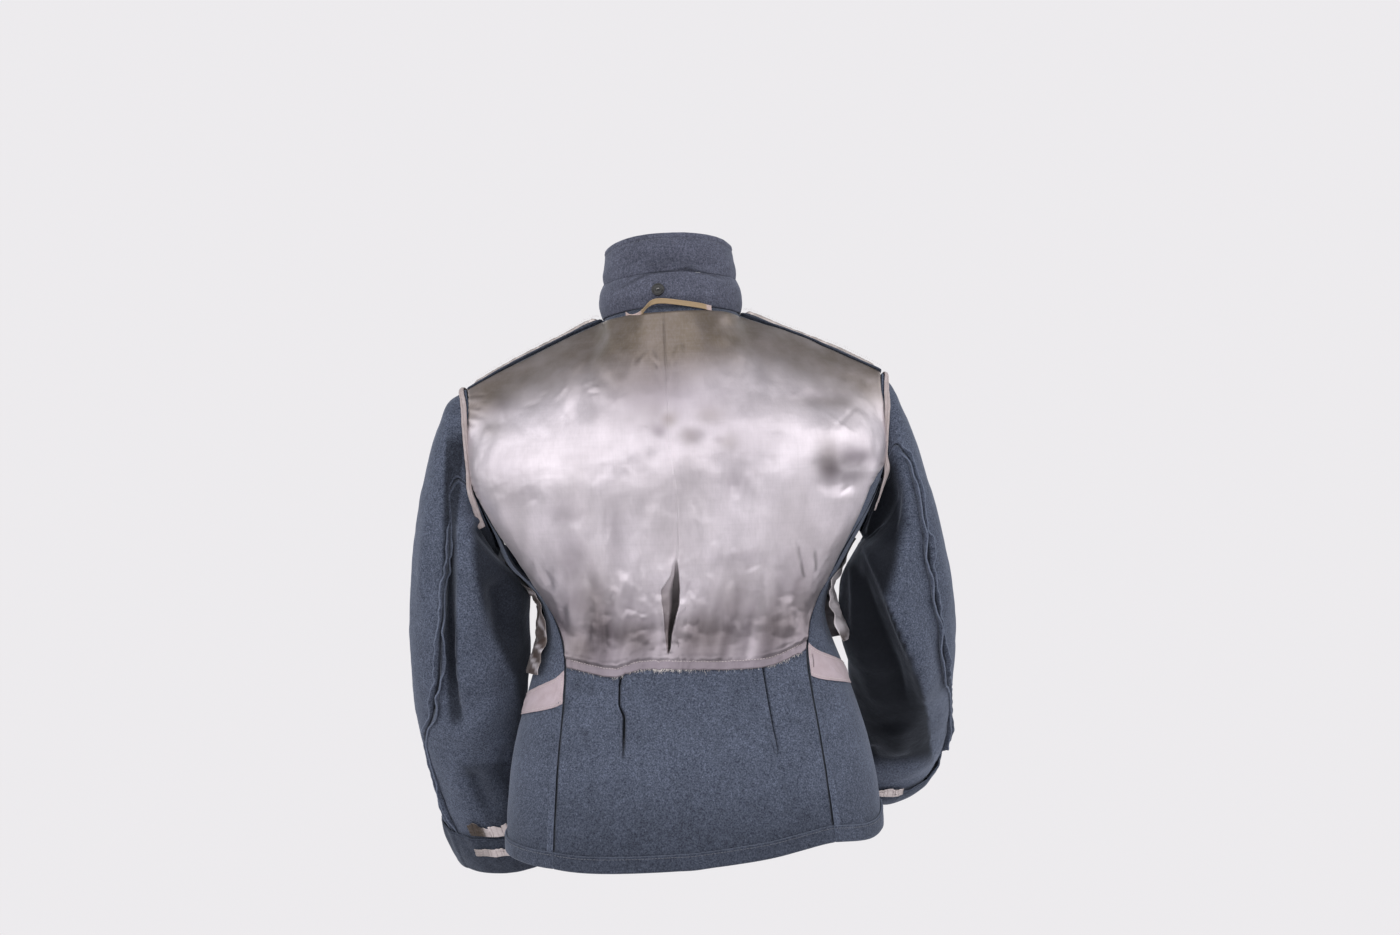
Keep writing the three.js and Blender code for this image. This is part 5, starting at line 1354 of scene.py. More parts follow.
# ---- Front linings ----
# Satin linings of the fronts, from the side-back seams to the turned front edges. They stop at the
# waist on the sides, where their loose feet stand off the wool.
FRONT_LINING_FOOT = {"left": 5.6, "right": 6.3}
FRONT_LINING_FOLDS = [
    (3, 9, 0, (60, -110), (74, -190), (66, -270), (70, -330)),
    (-3, 8, 0, (96, -120), (104, -190), (98, -260), (92, -330)),
    (2.5, 8, 0.2, (120, -130), (140, -200), (128, -270), (118, -330)),
    (-2.5, 7, 0, (30, -150), (42, -220), (38, -300)),
    (2, 5, 0, (150, -110), (120, -150), (92, -175)),
    (-2, 5, 0, (-158, -112), (-126, -150), (-96, -170)),
    (3, 8, 0, (-62, -120), (-78, -200), (-70, -290)),
    (-3, 8, 0, (-100, -130), (-110, -200), (-100, -290)),
    (2.5, 7, 0, (-128, -140), (-142, -210), (-126, -290)),
    (-2, 6, 0, (-34, -140), (-44, -210), (-40, -300)),
    (1.6, 2.2, 0.3, (56, -112), (68, -160), (66, -205)),
    (-1.4, 2, 0.3, (108, -150), (116, -196), (112, -240)),
    (1.5, 2.4, 0.3, (160, -140), (138, -165), (120, -200)),
    (1.4, 2.2, 0.3, (78, -250), (84, -290), (80, -325)),
    (1.6, 2.2, 0.3, (-52, -118), (-60, -170), (-56, -215)),
    (-1.4, 2, 0.3, (-96, -160), (-104, -200), (-98, -245)),
    (1.5, 2.4, 0.3, (-150, -136), (-130, -160), (-114, -190)),
    (1.4, 2.2, 0.3, (-74, -240), (-80, -275), (-76, -305)),
    (1.8, 3, 0.2, (40, -318), (62, -322), (84, -316)),
    (1.8, 3, 0.2, (-44, -300), (-66, -306), (-86, -300)),
]
# Heights, and how far the lining's hind edge keeps away from the side-back seam there.
LINING_APART = {
    "left": ((-375, -292, -262, -240, -200), (36, 11, 20, 38, 48)),
    "right": ((-357, -283, -262, -240, -200), (42, 10, 22, 38, 48)),
}
# Waves of the strips that show in the side gaps, and the heights between which they lie.
SIDE_WAVES = {"left": 6.5, "right": 5.5}
SIDE_WAVES_FOOT, SIDE_WAVES_TOP = -365, -255
# Heights below which the strips are crimped, and stand loose, and above which they are darkened with painted
# shadow.
CRIMPED_BELOW, LOOSE_BELOW, DARK_ABOVE = -262, -282, -284
# How far the loose linings stand off the sides there.
SIDE_LOOSE = {"left": 6, "right": 14}
# Height below which each strip is foul, and its least share of dirt above its tip.
SIDE_FOUL = {"left": (-212, 1), "right": (-235, 0.05)}
# How dark the painted shadow on each strip is.
SIDE_PAINTED_SHADOW = {"left": 1, "right": 0.5}
front_satin = satin_material(
    "satin_front", (0.56, 0.515, 0.55), (0.40, 0.36, 0.375), (0.052, 0.032, 0.026), (0.06, 0.12),
)
for side_name, side in SIDES:
    sheet, sheet_facing, row_places, column_places = fronts[side_name]
    foot = np.searchsorted(row_places, FRONT_LINING_FOOT[side_name])
    last = np.searchsorted(column_places, SIDE_CELLS + len(FRONT_ACROSS) - 2)
    lined, normal = sheet[foot:-2, 1:last + 1].copy(), sheet_facing[foot:-2, 1:last + 1].copy()
    count = np.arange(lined.shape[1])
    for r in range(len(lined)):
        apart = np.interp(lined[r, 0, 2], *LINING_APART[side_name]) / 3
        for table in (lined, normal):
            table[r] = sampled(table[r], count, count + apart * np.clip(1 - count / 35, 0, 1))
    x, y, z = np.moveaxis(lined, -1, 0)
    lift = 1.3 * folds(x, z, FRONT_LINING_FOLDS) * smooth((-20 - y) / 40)
    on_side = smooth((y + 60) / 30)
    wrinkles = 1.7 * np.sin(z / SIDE_WAVES[side_name] + 2 * np.sin(y / 7))
    wrinkles *= smooth((z - SIDE_WAVES_FOOT) / 20) * smooth((SIDE_WAVES_TOP - z) / 15)
    lift += on_side * wrinkles
    lift += on_side * np.sin(z / 2.6 + y / 5 + 2 * np.sin(z / 15)) * smooth((CRIMPED_BELOW - z) / 12)
    lift += unrest(lined, 38, 40 + side) * 2.2 + unrest(lined, 13, 44 + side) * 0.45
    lift += SIDE_LOOSE[side_name] * on_side * smooth((LOOSE_BELOW - z) / 45)
    lined = lined + normal * (ON_FRONT + np.maximum(lift, -0.9))[..., None]
    keep = np.ones((lined.shape[0] - 1, lined.shape[1] - 1), bool)
    armhole_row = np.searchsorted(row_places, CHEST_ROW) - foot
    keep[armhole_row - 2:, :ARMHOLE_EDGE + 1] = False
    foul_from, foul_least = SIDE_FOUL[side_name]
    foul = on_side * smooth((foul_from - z) / 24)
    foul *= foul_least + 0.9 * smooth((-340 - z) / 10) * (side < 0)
    pale = 0.75 * smooth((np.sin(z / 4 + y / 6 + 2 * np.sin(z / 11)) - 0.55) / 0.4)
    stain = np.clip(foul * (0.99 - pale) + 0.5 * smooth((z + 100) / 60), 0, 1)
    # Painted shadow on the strips in the side gaps under the arm.
    deep = on_side * smooth((z - DARK_ABOVE) / 14) * SIDE_PAINTED_SHADOW[side_name]
    name = f"front_lining_{side_name}"
    marks = {"stain": stain, "deep": deep}
    piece = cloth(name + "_cloth", lined, normal, SATIN, front_satin, keep, marks=marks)
    wear(piece, name)


# ---- Satin edges in the shoulder seams ----
# The linings are caught in the shoulder seams, and their frayed edges stand up past the wool.
SATIN_EDGE = 9.2
EDGE_FOOT = 1.6
edge_satin = satin_material("satin_edge", (0.70, 0.62, 0.60), (0.56, 0.49, 0.47), (0.30, 0.24, 0.20))
for side_name, side in SIDES:
    sheet, sheet_facing, _, column_places = fronts[side_name]
    first = ARMHOLE_EDGE
    last = np.searchsorted(column_places, NECK_PLACE)
    seam = slice(first, last + 1)
    fine = cells(0, last - first, 4)
    line, outward = spline_at(sheet[-1, seam], fine), spline_at(sheet_facing[-1, seam], fine)
    forward = unit(spline_at(sheet[-4, seam] - sheet[-1, seam], fine))
    way = way_along(line)
    ends = 0.25 + 0.75 * (smooth(way / 14) * smooth((way[-1] - way) / 10))[:, None]
    fray = waves(way / 2.1, side * 9, 2)[:, None]
    rows = []
    for share in np.linspace(0, 1, 7):
        sway = waves(way / 9, side * 4, share)[:, None]
        height = EDGE_FOOT + ((SATIN_EDGE - EDGE_FOOT) * share + (0.9 * fray + 1.5 * sway) * share**3) * ends
        rows.append(line + outward * height + forward * (4.2 + 1.3 * sway * share + 0.3 * share))
    rows = np.array(rows)
    normal = facing(rows, (0, 60, -100))
    edge = cloth(f"shoulder_edge_{side_name}", rows, normal, SATIN, edge_satin, marks={"stain": 0.2})
    wear(edge, None)


# ---- Collar ----
# A stand collar turned up: the fall rises from the stand along a soft, uneven fold, and is stitched
# a foot's width from its upper edge. Both are of the same wool, a little paler.
COLLAR_STAND = [(0, 1.0, 0), (11, 1.035, 0.5), (24, 1.02, 1.5), (34, 0.955, 2.5)]
COLLAR_FALL = [(35.2, 0.945, 2.6), (46, 0.96, 3.5), (60, 0.93, 5), (75, 0.915, 7)]
COLLAR_END = 0.95
COLLAR_MIDDLE_Y = -5
FALL_TALL = 40
# Where the row of stitches and the swell past it lie, from the fall's upper edge.
FALL_STITCHES = 5
FALL_SWELL = 2.6
COLLAR_TURNS = np.linspace(-COLLAR_END, COLLAR_END, 23)
COLLAR_FOLDS = {
    "collar_stand": [
        (1.6, 5, 0, (60, 14), (30, 19), (0, 18), (-40, 15), (-62, 14)),
        (-1.2, 3, 0, (66, 24), (40, 34), (10, 37)),
        (-1.0, 3, 0, (-62, 30), (-40, 36), (-15, 38)),
        (0.9, 3.5, 0, (40, 9), (50, 20), (52, 30)),
    ],
    "collar_fall": [
        (-3.4, 5.5, 0.2, (66, 44), (30, 51), (0, 53), (-35, 49), (-62, 45)),
        (-2.2, 4, 0, (24, 41), (4, 44), (-22, 42)),
        (1.6, 6, 0, (58, 62), (20, 66), (-20, 66), (-58, 62)),
        (-1.3, 3.5, 0, (-12, 50), (-30, 47), (-52, 44)),
        (1.0, 2.5, 0, (-8, 46), (-28, 43), (-50, 40)),
        (1.2, 4, 0, (30, 44), (14, 47), (-4, 48)),
    ],
}

# Hollows under the fall where no light falls, as the folds.
COLLAR_HOLLOWS = [
    (0.5, 1.6, 0, (66, 18), (58, 23), (22, 39), (-18, 43), (-56, 32), (-68, 29)),
    (0.34, 4.5, 0, (36, 44), (19, 49), (-4, 52), (-27, 45), (-44, 40)),
    (0.4, 2.5, 0, (-66, 8), (-72, 0), (-76, -5)),
]


def collar_sheet(profile):
    net = []
    for height, size, lean in profile:
        row = []
        for turn in COLLAR_TURNS:
            x, y, z = neck_line(abs(turn) * 2)
            seat = 0.7 + 1.3 * math.sin(math.pi * abs(turn)) + 1.4 * turn**4
            droop = 5 * bell(abs(turn) - 0.5, 0.15) * max(height - 46, 0) / 29
            row.append((math.copysign(x, turn) * size, y * size - lean, z + seat + height - droop))
        net.append(row)
    rows = cells(0, len(profile) - 1, 11)
    return refine(np.array(net), rows, cells(0, len(COLLAR_TURNS) - 1, 7))


collar = {}
for part, profile, flat in (("collar_stand", COLLAR_STAND, 0.038), ("collar_fall", COLLAR_FALL, 0.044)):
    sheet = collar_sheet(profile)
    inside = (0, COLLAR_MIDDLE_Y, profile[0][0])
    normal = facing(sheet, inside)
    behind = smooth((sheet[..., 1] - COLLAR_MIDDLE_Y) / 20)
    rise = folds(sheet[..., 0], sheet[..., 2], COLLAR_FOLDS[part]) * behind
    rise += unrest(sheet, 24, 31) * 0.7 + unrest(sheet, 9, 33) * 0.2
    if part == "collar_fall":
        from_edge = np.linspace(FALL_TALL, 0, len(sheet))[:, None]
        rise -= 0.8 * bell(from_edge - FALL_STITCHES, 0.8)
        rise += 0.4 * bell(from_edge - FALL_SWELL, 1.6)
    sheet = sheet + normal * rise[..., None]
    normal = facing(sheet, inside)
    collar[part] = (sheet, normal)
    shade = np.clip(folds(sheet[..., 0], sheet[..., 2], COLLAR_HOLLOWS) * behind, 0, 0.6)
    piece = cloth(part + "_cloth", sheet, normal, WOOL, collar_wool, marks={"shade": shade})
    wear(piece, part)


# ---- Darts ----
# Two darts that shape the back below the waist, pinched, pressed to one side and left showing on
# this side of the cloth. They run out to nothing at their feet.
DARTS = {
    "left": [(67, -366), (69, -379), (70, -399), (66, -410), (68, -448)],
    "right": [(-76, -364), (-80, -398), (-84, -429), (-87, -446), (-87, -453)],
}
DART_WIDTH = 4.6
DART_CLOTH = 1.1


def column_at(sheet, x, z):
    row = np.argmin(np.abs(sheet[:, sheet.shape[1] // 2, 2] - z))
    return np.interp(x, sheet[row, :, 0], np.arange(sheet.shape[1]))


def at_height(sheet, normal, column, z):
    """The place and outward direction where a column of a sheet passes a height."""
    low = min(int(column), sheet.shape[1] - 2)
    count = np.arange(len(sheet))
    found = []
    for c in (low, low + 1):
        row = np.interp(z, np.maximum.accumulate(sheet[:, c, 2]), count)
        found.append(np.concatenate([sampled(table[:, c], count, row) for table in (sheet, normal)]))
    mixed = found[0] * (1 - column + low) + found[1] * (column - low)
    return mixed[:3], mixed[3:] / np.linalg.norm(mixed[3:])


for side_name, run in DARTS.items():
    run = np.array(run, float)
    rows = []
    for share in np.linspace(0, 1, 40):
        x, z = (np.interp(share * (len(run) - 1), range(len(run)), run[:, k]) for k in range(2))
        width = DART_WIDTH * (1 - 0.75 * smooth((share - 0.35) / 0.65))
        row = []
        for edge in np.linspace(0, 1, 7):
            column = column_at(back_sheet, x + 0.6 + width * edge, z)
            place, out = at_height(back_sheet, back_facing, column, z)
            arch = math.sin(math.pi * min(edge * 1.25, 1)) ** 0.6 * 0.9 * (1 - share * 0.6)
            row.append(place + out * (WOOL / 2 + 0.35 + arch))
        rows.append(row)
    rows = np.array(rows)[::-1]
    dart = cloth(f"dart_{side_name}_cloth", rows, facing(rows, BELOW), DART_CLOTH, wool)
    wear(dart, f"dart_{side_name}")


# ---- Pressed allowances of the side-back seams ----
# Below the waist the seam allowances are pressed open and the outer one lies on the front.
PRESSED_FROM, PRESSED_TO = -543, -392
PRESSED_CLOTH = 1.2
for side_name, side in SIDES:
    sheet, sheet_facing, _, _ = fronts[side_name]
    rows = []
    for z in np.linspace(PRESSED_FROM, PRESSED_TO, 50):
        low = np.argmin(np.abs(sheet[:40, 0, 2] - z))
        step = np.linalg.norm(sheet[low, FRONT_FINE] - sheet[low, 0]) / FRONT_FINE
        row = []
        for distance in np.linspace(1.2, ALLOWANCE + 1, 7):
            place, out = at_height(sheet, sheet_facing, distance / step, z)
            row.append(place + out * (WOOL / 2 + 0.85 + 0.35 * waves(z / 12, distance / 9, side * 3)))
        rows.append(row)
    rows = np.array(rows)
    name = f"seam_allowance_{side_name}"
    strip = cloth(name + "_cloth", rows, facing(rows, BELOW), PRESSED_CLOTH, wool)
    wear(strip, name)


# ---- Waist tapes ----
# Short bands of cotton from the side-back seams towards the fronts, edge-stitched and creased from
# long wear. The right one has a worked slit.
WAIST_TAPES = {"left": -364, "right": -347}
TAPE = 0.8
# Height of the tape at the seam, and how much its upper and lower edge sink in each cell of the front.
TAPE_TALL = 33
TAPE_SINKS = (9, 5)
# Where the two rows of stitches draw the tape in, across its height, and over what width.
TAPE_ROWS, TAPE_ROW_WIDE = (0.09, 0.91), 0.028
SLIT_FROM, SLIT_TO, SLIT_AT, SLIT_WIDE = 0.33, 0.76, 0.42, 0.06


def cotton_material(name, colour, worn, twill):
    """Cotton tape: a fine twill, soft and dull, yellowed where it was handled, and painted dark as shadow
    where marked.
    """
    paint = Paint(name, {"Roughness": 0.85, "Specular IOR Level": 0.25, "Sheen Weight": 0.15})
    flat = paint.node("UVMap").outputs["UV"]
    slanted = paint.node("Mapping", {"Vector": flat, "Rotation": (0, 0, 0.78)}).outputs["Vector"]
    weave = {"Vector": slanted, "Scale": twill, "Distortion": 1.2, "Detail": 1}
    ribs = paint.node("TexWave", weave).outputs["Fac"]
    base = paint.blended(paint.spread(paint.clouds(90, 5), 0.35, 0.7, 0, 0.45), colour, worn)
    base = paint.blended(paint.marked("stain"), base, worn)
    base = paint.blended(paint.spread(ribs, 0, 1, 0, 0.22), base, times(worn, 0.5))
    base = paint.blended(paint.marked("shade"), base, (0.03, 0.025, 0.025))
    paint.lead(base, "Base Color")
    paint.lead(paint.bumps(ribs, 0.3, 0.0003), "Normal")
    return paint.material


cotton = cotton_material("cotton_tape", (0.47, 0.385, 0.425), (0.34, 0.265, 0.27), 350)
tape_edges = {}
for side_name, side in SIDES:
    sheet, sheet_facing, _, _ = fronts[side_name]
    top = WAIST_TAPES[side_name]
    rows, marks, slits = [], [], []
    for share in np.linspace(0, 1, 22):
        row, mark, cut = [], [], []
        for place in np.linspace(0.06, 3, 60):
            upper, lower = top - TAPE_SINKS[0] * place, top - TAPE_TALL - TAPE_SINKS[1] * place
            z = lower + (upper - lower) * share
            on_front, out = at_height(sheet, sheet_facing, place * FRONT_FINE, z)
            swell = 0.5 * waves(place * 1.7, share * 2.5, side * 5)
            swell += 0.5 * waves(place * 5 + share * 4, share * 2, side * 9)
            swell -= 0.55 * sum(bell(share - middle, TAPE_ROW_WIDE) for middle in TAPE_ROWS)
            swell -= 0.5 * bell(place - 0.26, 0.05) * (0.08 < share < 0.92)
            slit = 0
            if side < 0:
                bent = SLIT_AT + 0.05 * math.sin(math.pi * (share - 0.35) / 0.4)
                slit = bell(place - bent, SLIT_WIDE) * (SLIT_FROM < share < SLIT_TO)
                swell += 0.9 * bell(place - bent + 0.1, SLIT_WIDE) * (SLIT_FROM < share < SLIT_TO)
            row.append(on_front + out * (WOOL / 2 + 1.5 + max(swell - 0.6 * slit, -0.75)))
            # In the slit, painted shadow: near black through the shade, and darker through the stain;
            # elsewhere the stain grows towards the tape's edges.
            mark.append(max(0.4 * slit, 1.1 * (share - 0.5) ** 2))
            cut.append(0.97 * slit)
        rows.append(row)
        marks.append(mark)
        slits.append(cut)
    rows = np.array(rows)
    normal = facing(rows, BELOW)
    tape_edges[side_name] = (rows, normal)
    marks = {"stain": np.array(marks), "shade": np.array(slits)}
    tape = cloth(f"waist_tape_{side_name}_cloth", rows, normal, TAPE, cotton, marks=marks)
    wear(tape, f"waist_tape_{side_name}")


# ---- Stitching ----
# Rows of short stitches: along the turned hem, the collar's edge, the foot of the back lining and the
# edges of the waist tapes. One stitch is a small arched bead of thread.
STITCH_PLACES = np.array([0, 0.15, 0.5, 0.85, 1])
STITCH_ARCH = np.array([-0.7, 0.2, 0.5, 0.2, -0.7])
STITCH_RADII = np.array([0.5, 0.9, 1, 0.9, 0.5])
# How far the tape's stitches lie from the middle of its cloth, and the lining's.
ON_TAPE = 0.42
ON_LINING = 0.35
PLEAT_COLUMNS = (150, 152)


def thread_material(name, colour):
    paint = Paint(name, {"Roughness": 0.7, "Sheen Weight": 0.2})
    paint.lead(paint.blended(paint.clouds(700, 2), times(colour, 0.6), times(colour, 1.3)), "Base Color")
    return paint.material


def tubes(name, runs, outwards, radii, material, sides=5):
    """Joins short round threads into one piece: each run is a line of points with one radius each."""
    vertices, faces = [], []
    turn = np.linspace(0, 2 * np.pi, sides, endpoint=False)[:, None]
    for run, out, radius in zip(runs, outwards, radii):
        way = unit(np.gradient(run, axis=0))
        across = unit(np.cross(way, out))
        up = np.cross(across, way)
        first = len(vertices)
        for k in range(len(run)):
            vertices.extend(run[k] + (across[k] * np.cos(turn) + up[k] * np.sin(turn)) * radius[k])
        for k in range(len(run) - 1):
            for s in range(sides):
                a, b = first + k * sides + s, first + k * sides + (s + 1) % sides
                faces.append((a, b, b + sides, a + sides))
        last = first + (len(run) - 1) * sides
        faces += [tuple(range(first, first + sides))[::-1], tuple(range(last, last + sides))]
    mesh = bpy.data.meshes.new(name)
    mesh.from_pydata((np.array(vertices) * MM).tolist(), [], faces)
    mesh.validate()
    bpy.ops.object.select_all(action="DESELECT")
    piece = added(name, mesh)
    bpy.context.view_layer.objects.active = piece
    bpy.ops.object.mode_set(mode="EDIT")
    bpy.ops.mesh.select_all(action="SELECT")
    bpy.ops.mesh.normals_make_consistent(inside=False)
    bpy.ops.object.mode_set(mode="OBJECT")
    mesh.shade_smooth()
    mesh.materials.append(material)
    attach(piece, "root")


def stitches(name, lines, material, long=2.6, gap=0.7, thick=0.28):
    """Stitches along lines, each line being its points and its outward directions."""
    runs, outwards, radii = [], [], []
    for line, outward in lines:
        way = way_along(line)
        for start in np.arange(0.5, way[-1] - long, long + gap):
            places = start + long * STITCH_PLACES
            out = sampled(outward, way, places)
            runs.append(sampled(line, way, places) + out * (thick * STITCH_ARCH)[:, None])
            outwards.append(out)
            radii.append(thick * STITCH_RADII)
    tubes(name, runs, outwards, radii, material)


wool_thread = thread_material("wool_thread", (0.10, 0.105, 0.13))
pale_thread = thread_material("pale_thread", (0.55, 0.48, 0.46))
hem_lines = []
for sheet, normal in ((back_sheet, back_facing), fronts["left"][:2], fronts["right"][:2]):
    down = unit(sheet[2] - sheet[0])
    hem_lines.append((sheet[0] + down * (HEM_TURN - 2) + normal[0] * (WOOL * 1.5 + GAP + 0.05), normal[0]))
stitches("hem_stitches", hem_lines, wool_thread)
sheet, normal = collar["collar_fall"]
row = round((1 - FALL_STITCHES / FALL_TALL) * (len(sheet) - 1))
collar_line = (sheet[row] + normal[row] * (WOOL / 2 + 0.05), normal[row])
stitches("collar_stitches", [collar_line], wool_thread)
tape_lines = []
for rows, normal in tape_edges.values():
    for line in ((2, slice(None)), (len(rows) - 3, slice(None)), (slice(2, -2), 4)):
        tape_lines.append((rows[line] + normal[line] * ON_TAPE, normal[line]))
stitches("tape_stitches", tape_lines, pale_thread, 2.0, 0.8, 0.22)
foot_facing = facing(lining, INSIDE)
foot_lines = []
for first, last in ((4, PLEAT_COLUMNS[0]), (PLEAT_COLUMNS[1], lining.shape[1] - 4)):
    line = [at_height(lining, foot_facing, c, lining[0, c, 2] + FOOT_BAND) for c in range(first, last)]
    points, outward = np.array(line).swapaxes(0, 1)
    foot_lines.append((points + outward * ON_LINING, outward))
stitches("lining_stitches", foot_lines, pale_thread, 2.2, 0.9, 0.24)


# ---- Frayed threads ----
# Loose ends of the satin where its edges have torn, along the foot of the back lining and on the
# shoulders, each a fine curling thread.
FRAY_THICK = 0.13
FRAY_RADII = np.array([1, 1, 0.9, 0.8, 0.65, 0.4])
FOOT_FRAYS = 150
# Where the foot is most frayed, and over what width.
FRAYED = [(40, 30), (-108, 22)]
FRAYED_LEAST = 0.25
SHOULDER_FRAYS = 70


def fray(name, roots, ways, length, seed):
    runs, outwards, radii = [], [], []
    shares = np.linspace(0, 1, len(FRAY_RADII))
    for i, (root, way) in enumerate(zip(roots, ways)):
        long = length * (0.45 + 1.44 * abs(waves(i * 1.7, 5, seed)))
        drift = np.stack([waves(i * 3.3 + k * 9.1, shares * 1.8, seed) for k in range(3)], -1) * long * 0.75
        runs.append(root + unit(way) * (shares * long)[:, None] + (drift - drift[0]) * shares[:, None])
        outwards.append(np.tile([0.2, 1, 0.1], (len(shares), 1)))
        radii.append(FRAY_THICK * FRAY_RADII)
    tubes(name, runs, outwards, radii, frayed_satin, 4)


frayed_satin = thread_material("frayed_satin", (0.72, 0.66, 0.64))
roots, ways = [], []
for i in range(FOOT_FRAYS):
    c = int((i + 0.5) / FOOT_FRAYS * (lining.shape[1] - 8) + 4 + 2 * waves(i, 2, 3))
    x = lining[0, c, 0]
    thick_here = FRAYED_LEAST + sum(bell(x - middle, wide) for middle, wide in FRAYED)
    if abs(waves(i * 5.1, 1, 1)) * 2.2 > thick_here:
        continue
    for k in range(1 + int(2.2 * thick_here)):
        slant = waves(i * 2.9, k * 4.4, 7)
        roots.append(lining[0, c] + np.array((slant * 2, 0.1, 0.4)))
        ways.append((slant * 1.3, 0.35, -1))
fray("lining_fray", roots, ways, 3.6, 4)
roots, ways = [], []
for side_name, side in SIDES:
    sheet, sheet_facing, _, column_places = fronts[side_name]
    first = ARMHOLE_EDGE
    last = np.searchsorted(column_places, NECK_PLACE)
    count = np.arange(last - first + 1)
    for i in range(SHOULDER_FRAYS):
        at = (i + 0.5) / SHOULDER_FRAYS * (last - first)
        place, out = (sampled(table[-1, first:last + 1], count, at) for table in (sheet, sheet_facing))
        roots.append(place + out * (SATIN_EDGE - 1) + np.array((0, -5, 0)))
        ways.append(out + np.array((0.6 * waves(i * 3.1, side, 2), 0.5, 0)))
fray("shoulder_fray", roots, ways, 2.4, 9)


# ---- Cuff facings ----
# Wool facings turned outwards round the sleeve ends, loose along their upper edges, where strips of
# the torn sleeve lining still hang.
CUFF_FACINGS = {"left": 47, "right": 18}
# How much painted shade darkens each facing.
CUFF_SHADE = {"left": 0.56, "right": 0.36}
CUFF_RISE = WOOL + GAP + 0.9
# The bend that joins a facing to its sleeve, and the facing above it: numbers of rows.
BEND_ROWS, FACING_ROWS = 8, 24
SLEEVE_END_ROWS = 28
PAST_FACING = (5, 13, 22)
# Place round the sleeve where each strip starts and stops, its lower and upper edge, and its sag.
CUFF_SCRAPS = {
    "left": [(0.2, 0.42, 52, 66, 0.0), (0.2, 0.34, 28, 38, 0.9)],
    "right": [(0.24, 0.45, 17, 27, 0.6)],
}
SCRAP_ROWS, SCRAP_COLUMNS = 12, 44
SCRAP_SATIN = 0.5
scrap_satin = satin_material("satin_scrap", (0.66, 0.58, 0.58), (0.52, 0.45, 0.44), (0.060, 0.045, 0.036))
for side_name, side in SIDES:
    tall = CUFF_FACINGS[side_name]
    under, upper = (sleeves[side_name, half] for half in (False, True))
    sleeve_end = np.concatenate([under[0][:, :-1], upper[0][:, :-1]], axis=1)[-SLEEVE_END_ROWS:]
    turned = np.concatenate([under[3][-1, :-1], upper[3][-1, :-1]])
    fine = spline_at(sleeve_end, cells(0, SLEEVE_END_ROWS - 1, 2))[::-1]
    out = round_facing(fine, True)
    down = unit(fine[0] - fine[3])
    rows = []
    for angle in np.linspace(-0.9, 1.25, BEND_ROWS):
        lift = CUFF_RISE / 2 * (1 + math.sin(angle))
        rows.append(fine[0] + down * (0.4 + 2.2 * math.cos(angle)) + out[0] * lift)
    way = way_along(fine[:, 0])
    round_x, round_y = np.cos(2 * np.pi * turned), np.sin(2 * np.pi * turned)
    loose = np.maximum(waves(9 * round_x, 9 * round_y, side * 3), 0)
    for distance in np.linspace(0.8, tall, FACING_ROWS):
        r = np.interp(distance, way, np.arange(len(fine)))
        low = min(int(r), len(fine) - 2)
        place = fine[low] + (fine[low + 1] - fine[low]) * (r - low)
        share = distance / tall
        belly = 2.2 * math.sin(math.pi * share) + 1.2 * share**3
        sway = waves(5 * round_x, 5 * round_y, share * 1.6 + side * 7)
        rise = CUFF_RISE + belly * (1 + 0.5 * sway)
        rise += 1.2 * np.maximum(sway, -0.6) * share + 1.1 * loose * share**2
        rows.append(place + out[low] * rise[:, None])
    rows = np.array(rows)
    normal = round_facing(rows, True)
    # The strips reach a little past the facing, onto the sleeve.
    reach = [fine[int(np.searchsorted(way, tall + past))] + out[0] * 3 for past in PAST_FACING]
    under_scraps = np.concatenate([rows, reach])
    scrap_facing = np.concatenate([normal, np.repeat(normal[-1:], len(reach), 0)])
    name = f"cuff_facing_{side_name}"
    shade = {"shade": CUFF_SHADE[side_name]}
    piece = cloth(name + "_cloth", rows, normal, WOOL, wool, closed=True, marks=shade)
    high = tall * MM + 0.011
    wear(piece, name)
    cuff_way = way_along(under_scraps[BEND_ROWS:, 0])
    for i, (start, stop, low, high, sag) in enumerate(CUFF_SCRAPS[side_name]):
        brown = 1 if side > 0 and i == 0 else 0.3
        strip, marks = [], []
        for share in np.linspace(0, 1, SCRAP_ROWS):
            line, mark = [], []
            for t in np.linspace(start, stop, SCRAP_COLUMNS):
                ragged = 1 + 0.5 * waves(t * 30, i, side + 3 * share) + 0.2 * waves(t * 120, i, side)
                distance = low + (high - low) * share * ragged - 3.5 * sag * math.sin(9 * t)
                r = BEND_ROWS + np.interp(distance, cuff_way, np.arange(len(cuff_way)))
                lower = min(int(r), len(under_scraps) - 2)
                c = int(np.argmin(np.abs(turned - t)))
                place = under_scraps[lower, c]
                place = place + (under_scraps[lower + 1, c] - place) * (r - lower)
                rumple = 0.9 * waves(t * 34, share * 2, side * 5 + i) + 0.5 * waves(t * 80, share * 5, i)
                line.append(place + scrap_facing[lower, c] * (WOOL / 2 + 0.9 + rumple))
                mark.append(brown * smooth((0.262 - t) / 0.03))
            strip.append(line)
            marks.append(mark)
        # A smooth curve is drawn through the columns of the strip and of its marks.
        finer = cells(0, SCRAP_COLUMNS - 1, 2)
        strip = spline_at(np.swapaxes(strip, 0, 1), finer).swapaxes(0, 1)
        stain = spline_at(np.swapaxes(marks, 0, 1), finer).swapaxes(0, 1)
        normal = facing(strip, rows.mean(axis=(0, 1)))
        name = f"cuff_scrap_{side_name}_{i + 1}"
        stain = {"stain": np.clip(stain, 0, 1)}
        piece = cloth(name, strip, normal, SCRAP_SATIN, scrap_satin, marks=stain)
        node = f"cuff_lining_{side_name}" if i == 0 else None
        wear(piece, node)


# ---- Armhole bindings ----
# Narrow cotton bands that cover the armhole seams, folded over the allowances, from under the arm
# over the shoulder and down again.
BINDING_WIDTH = 7
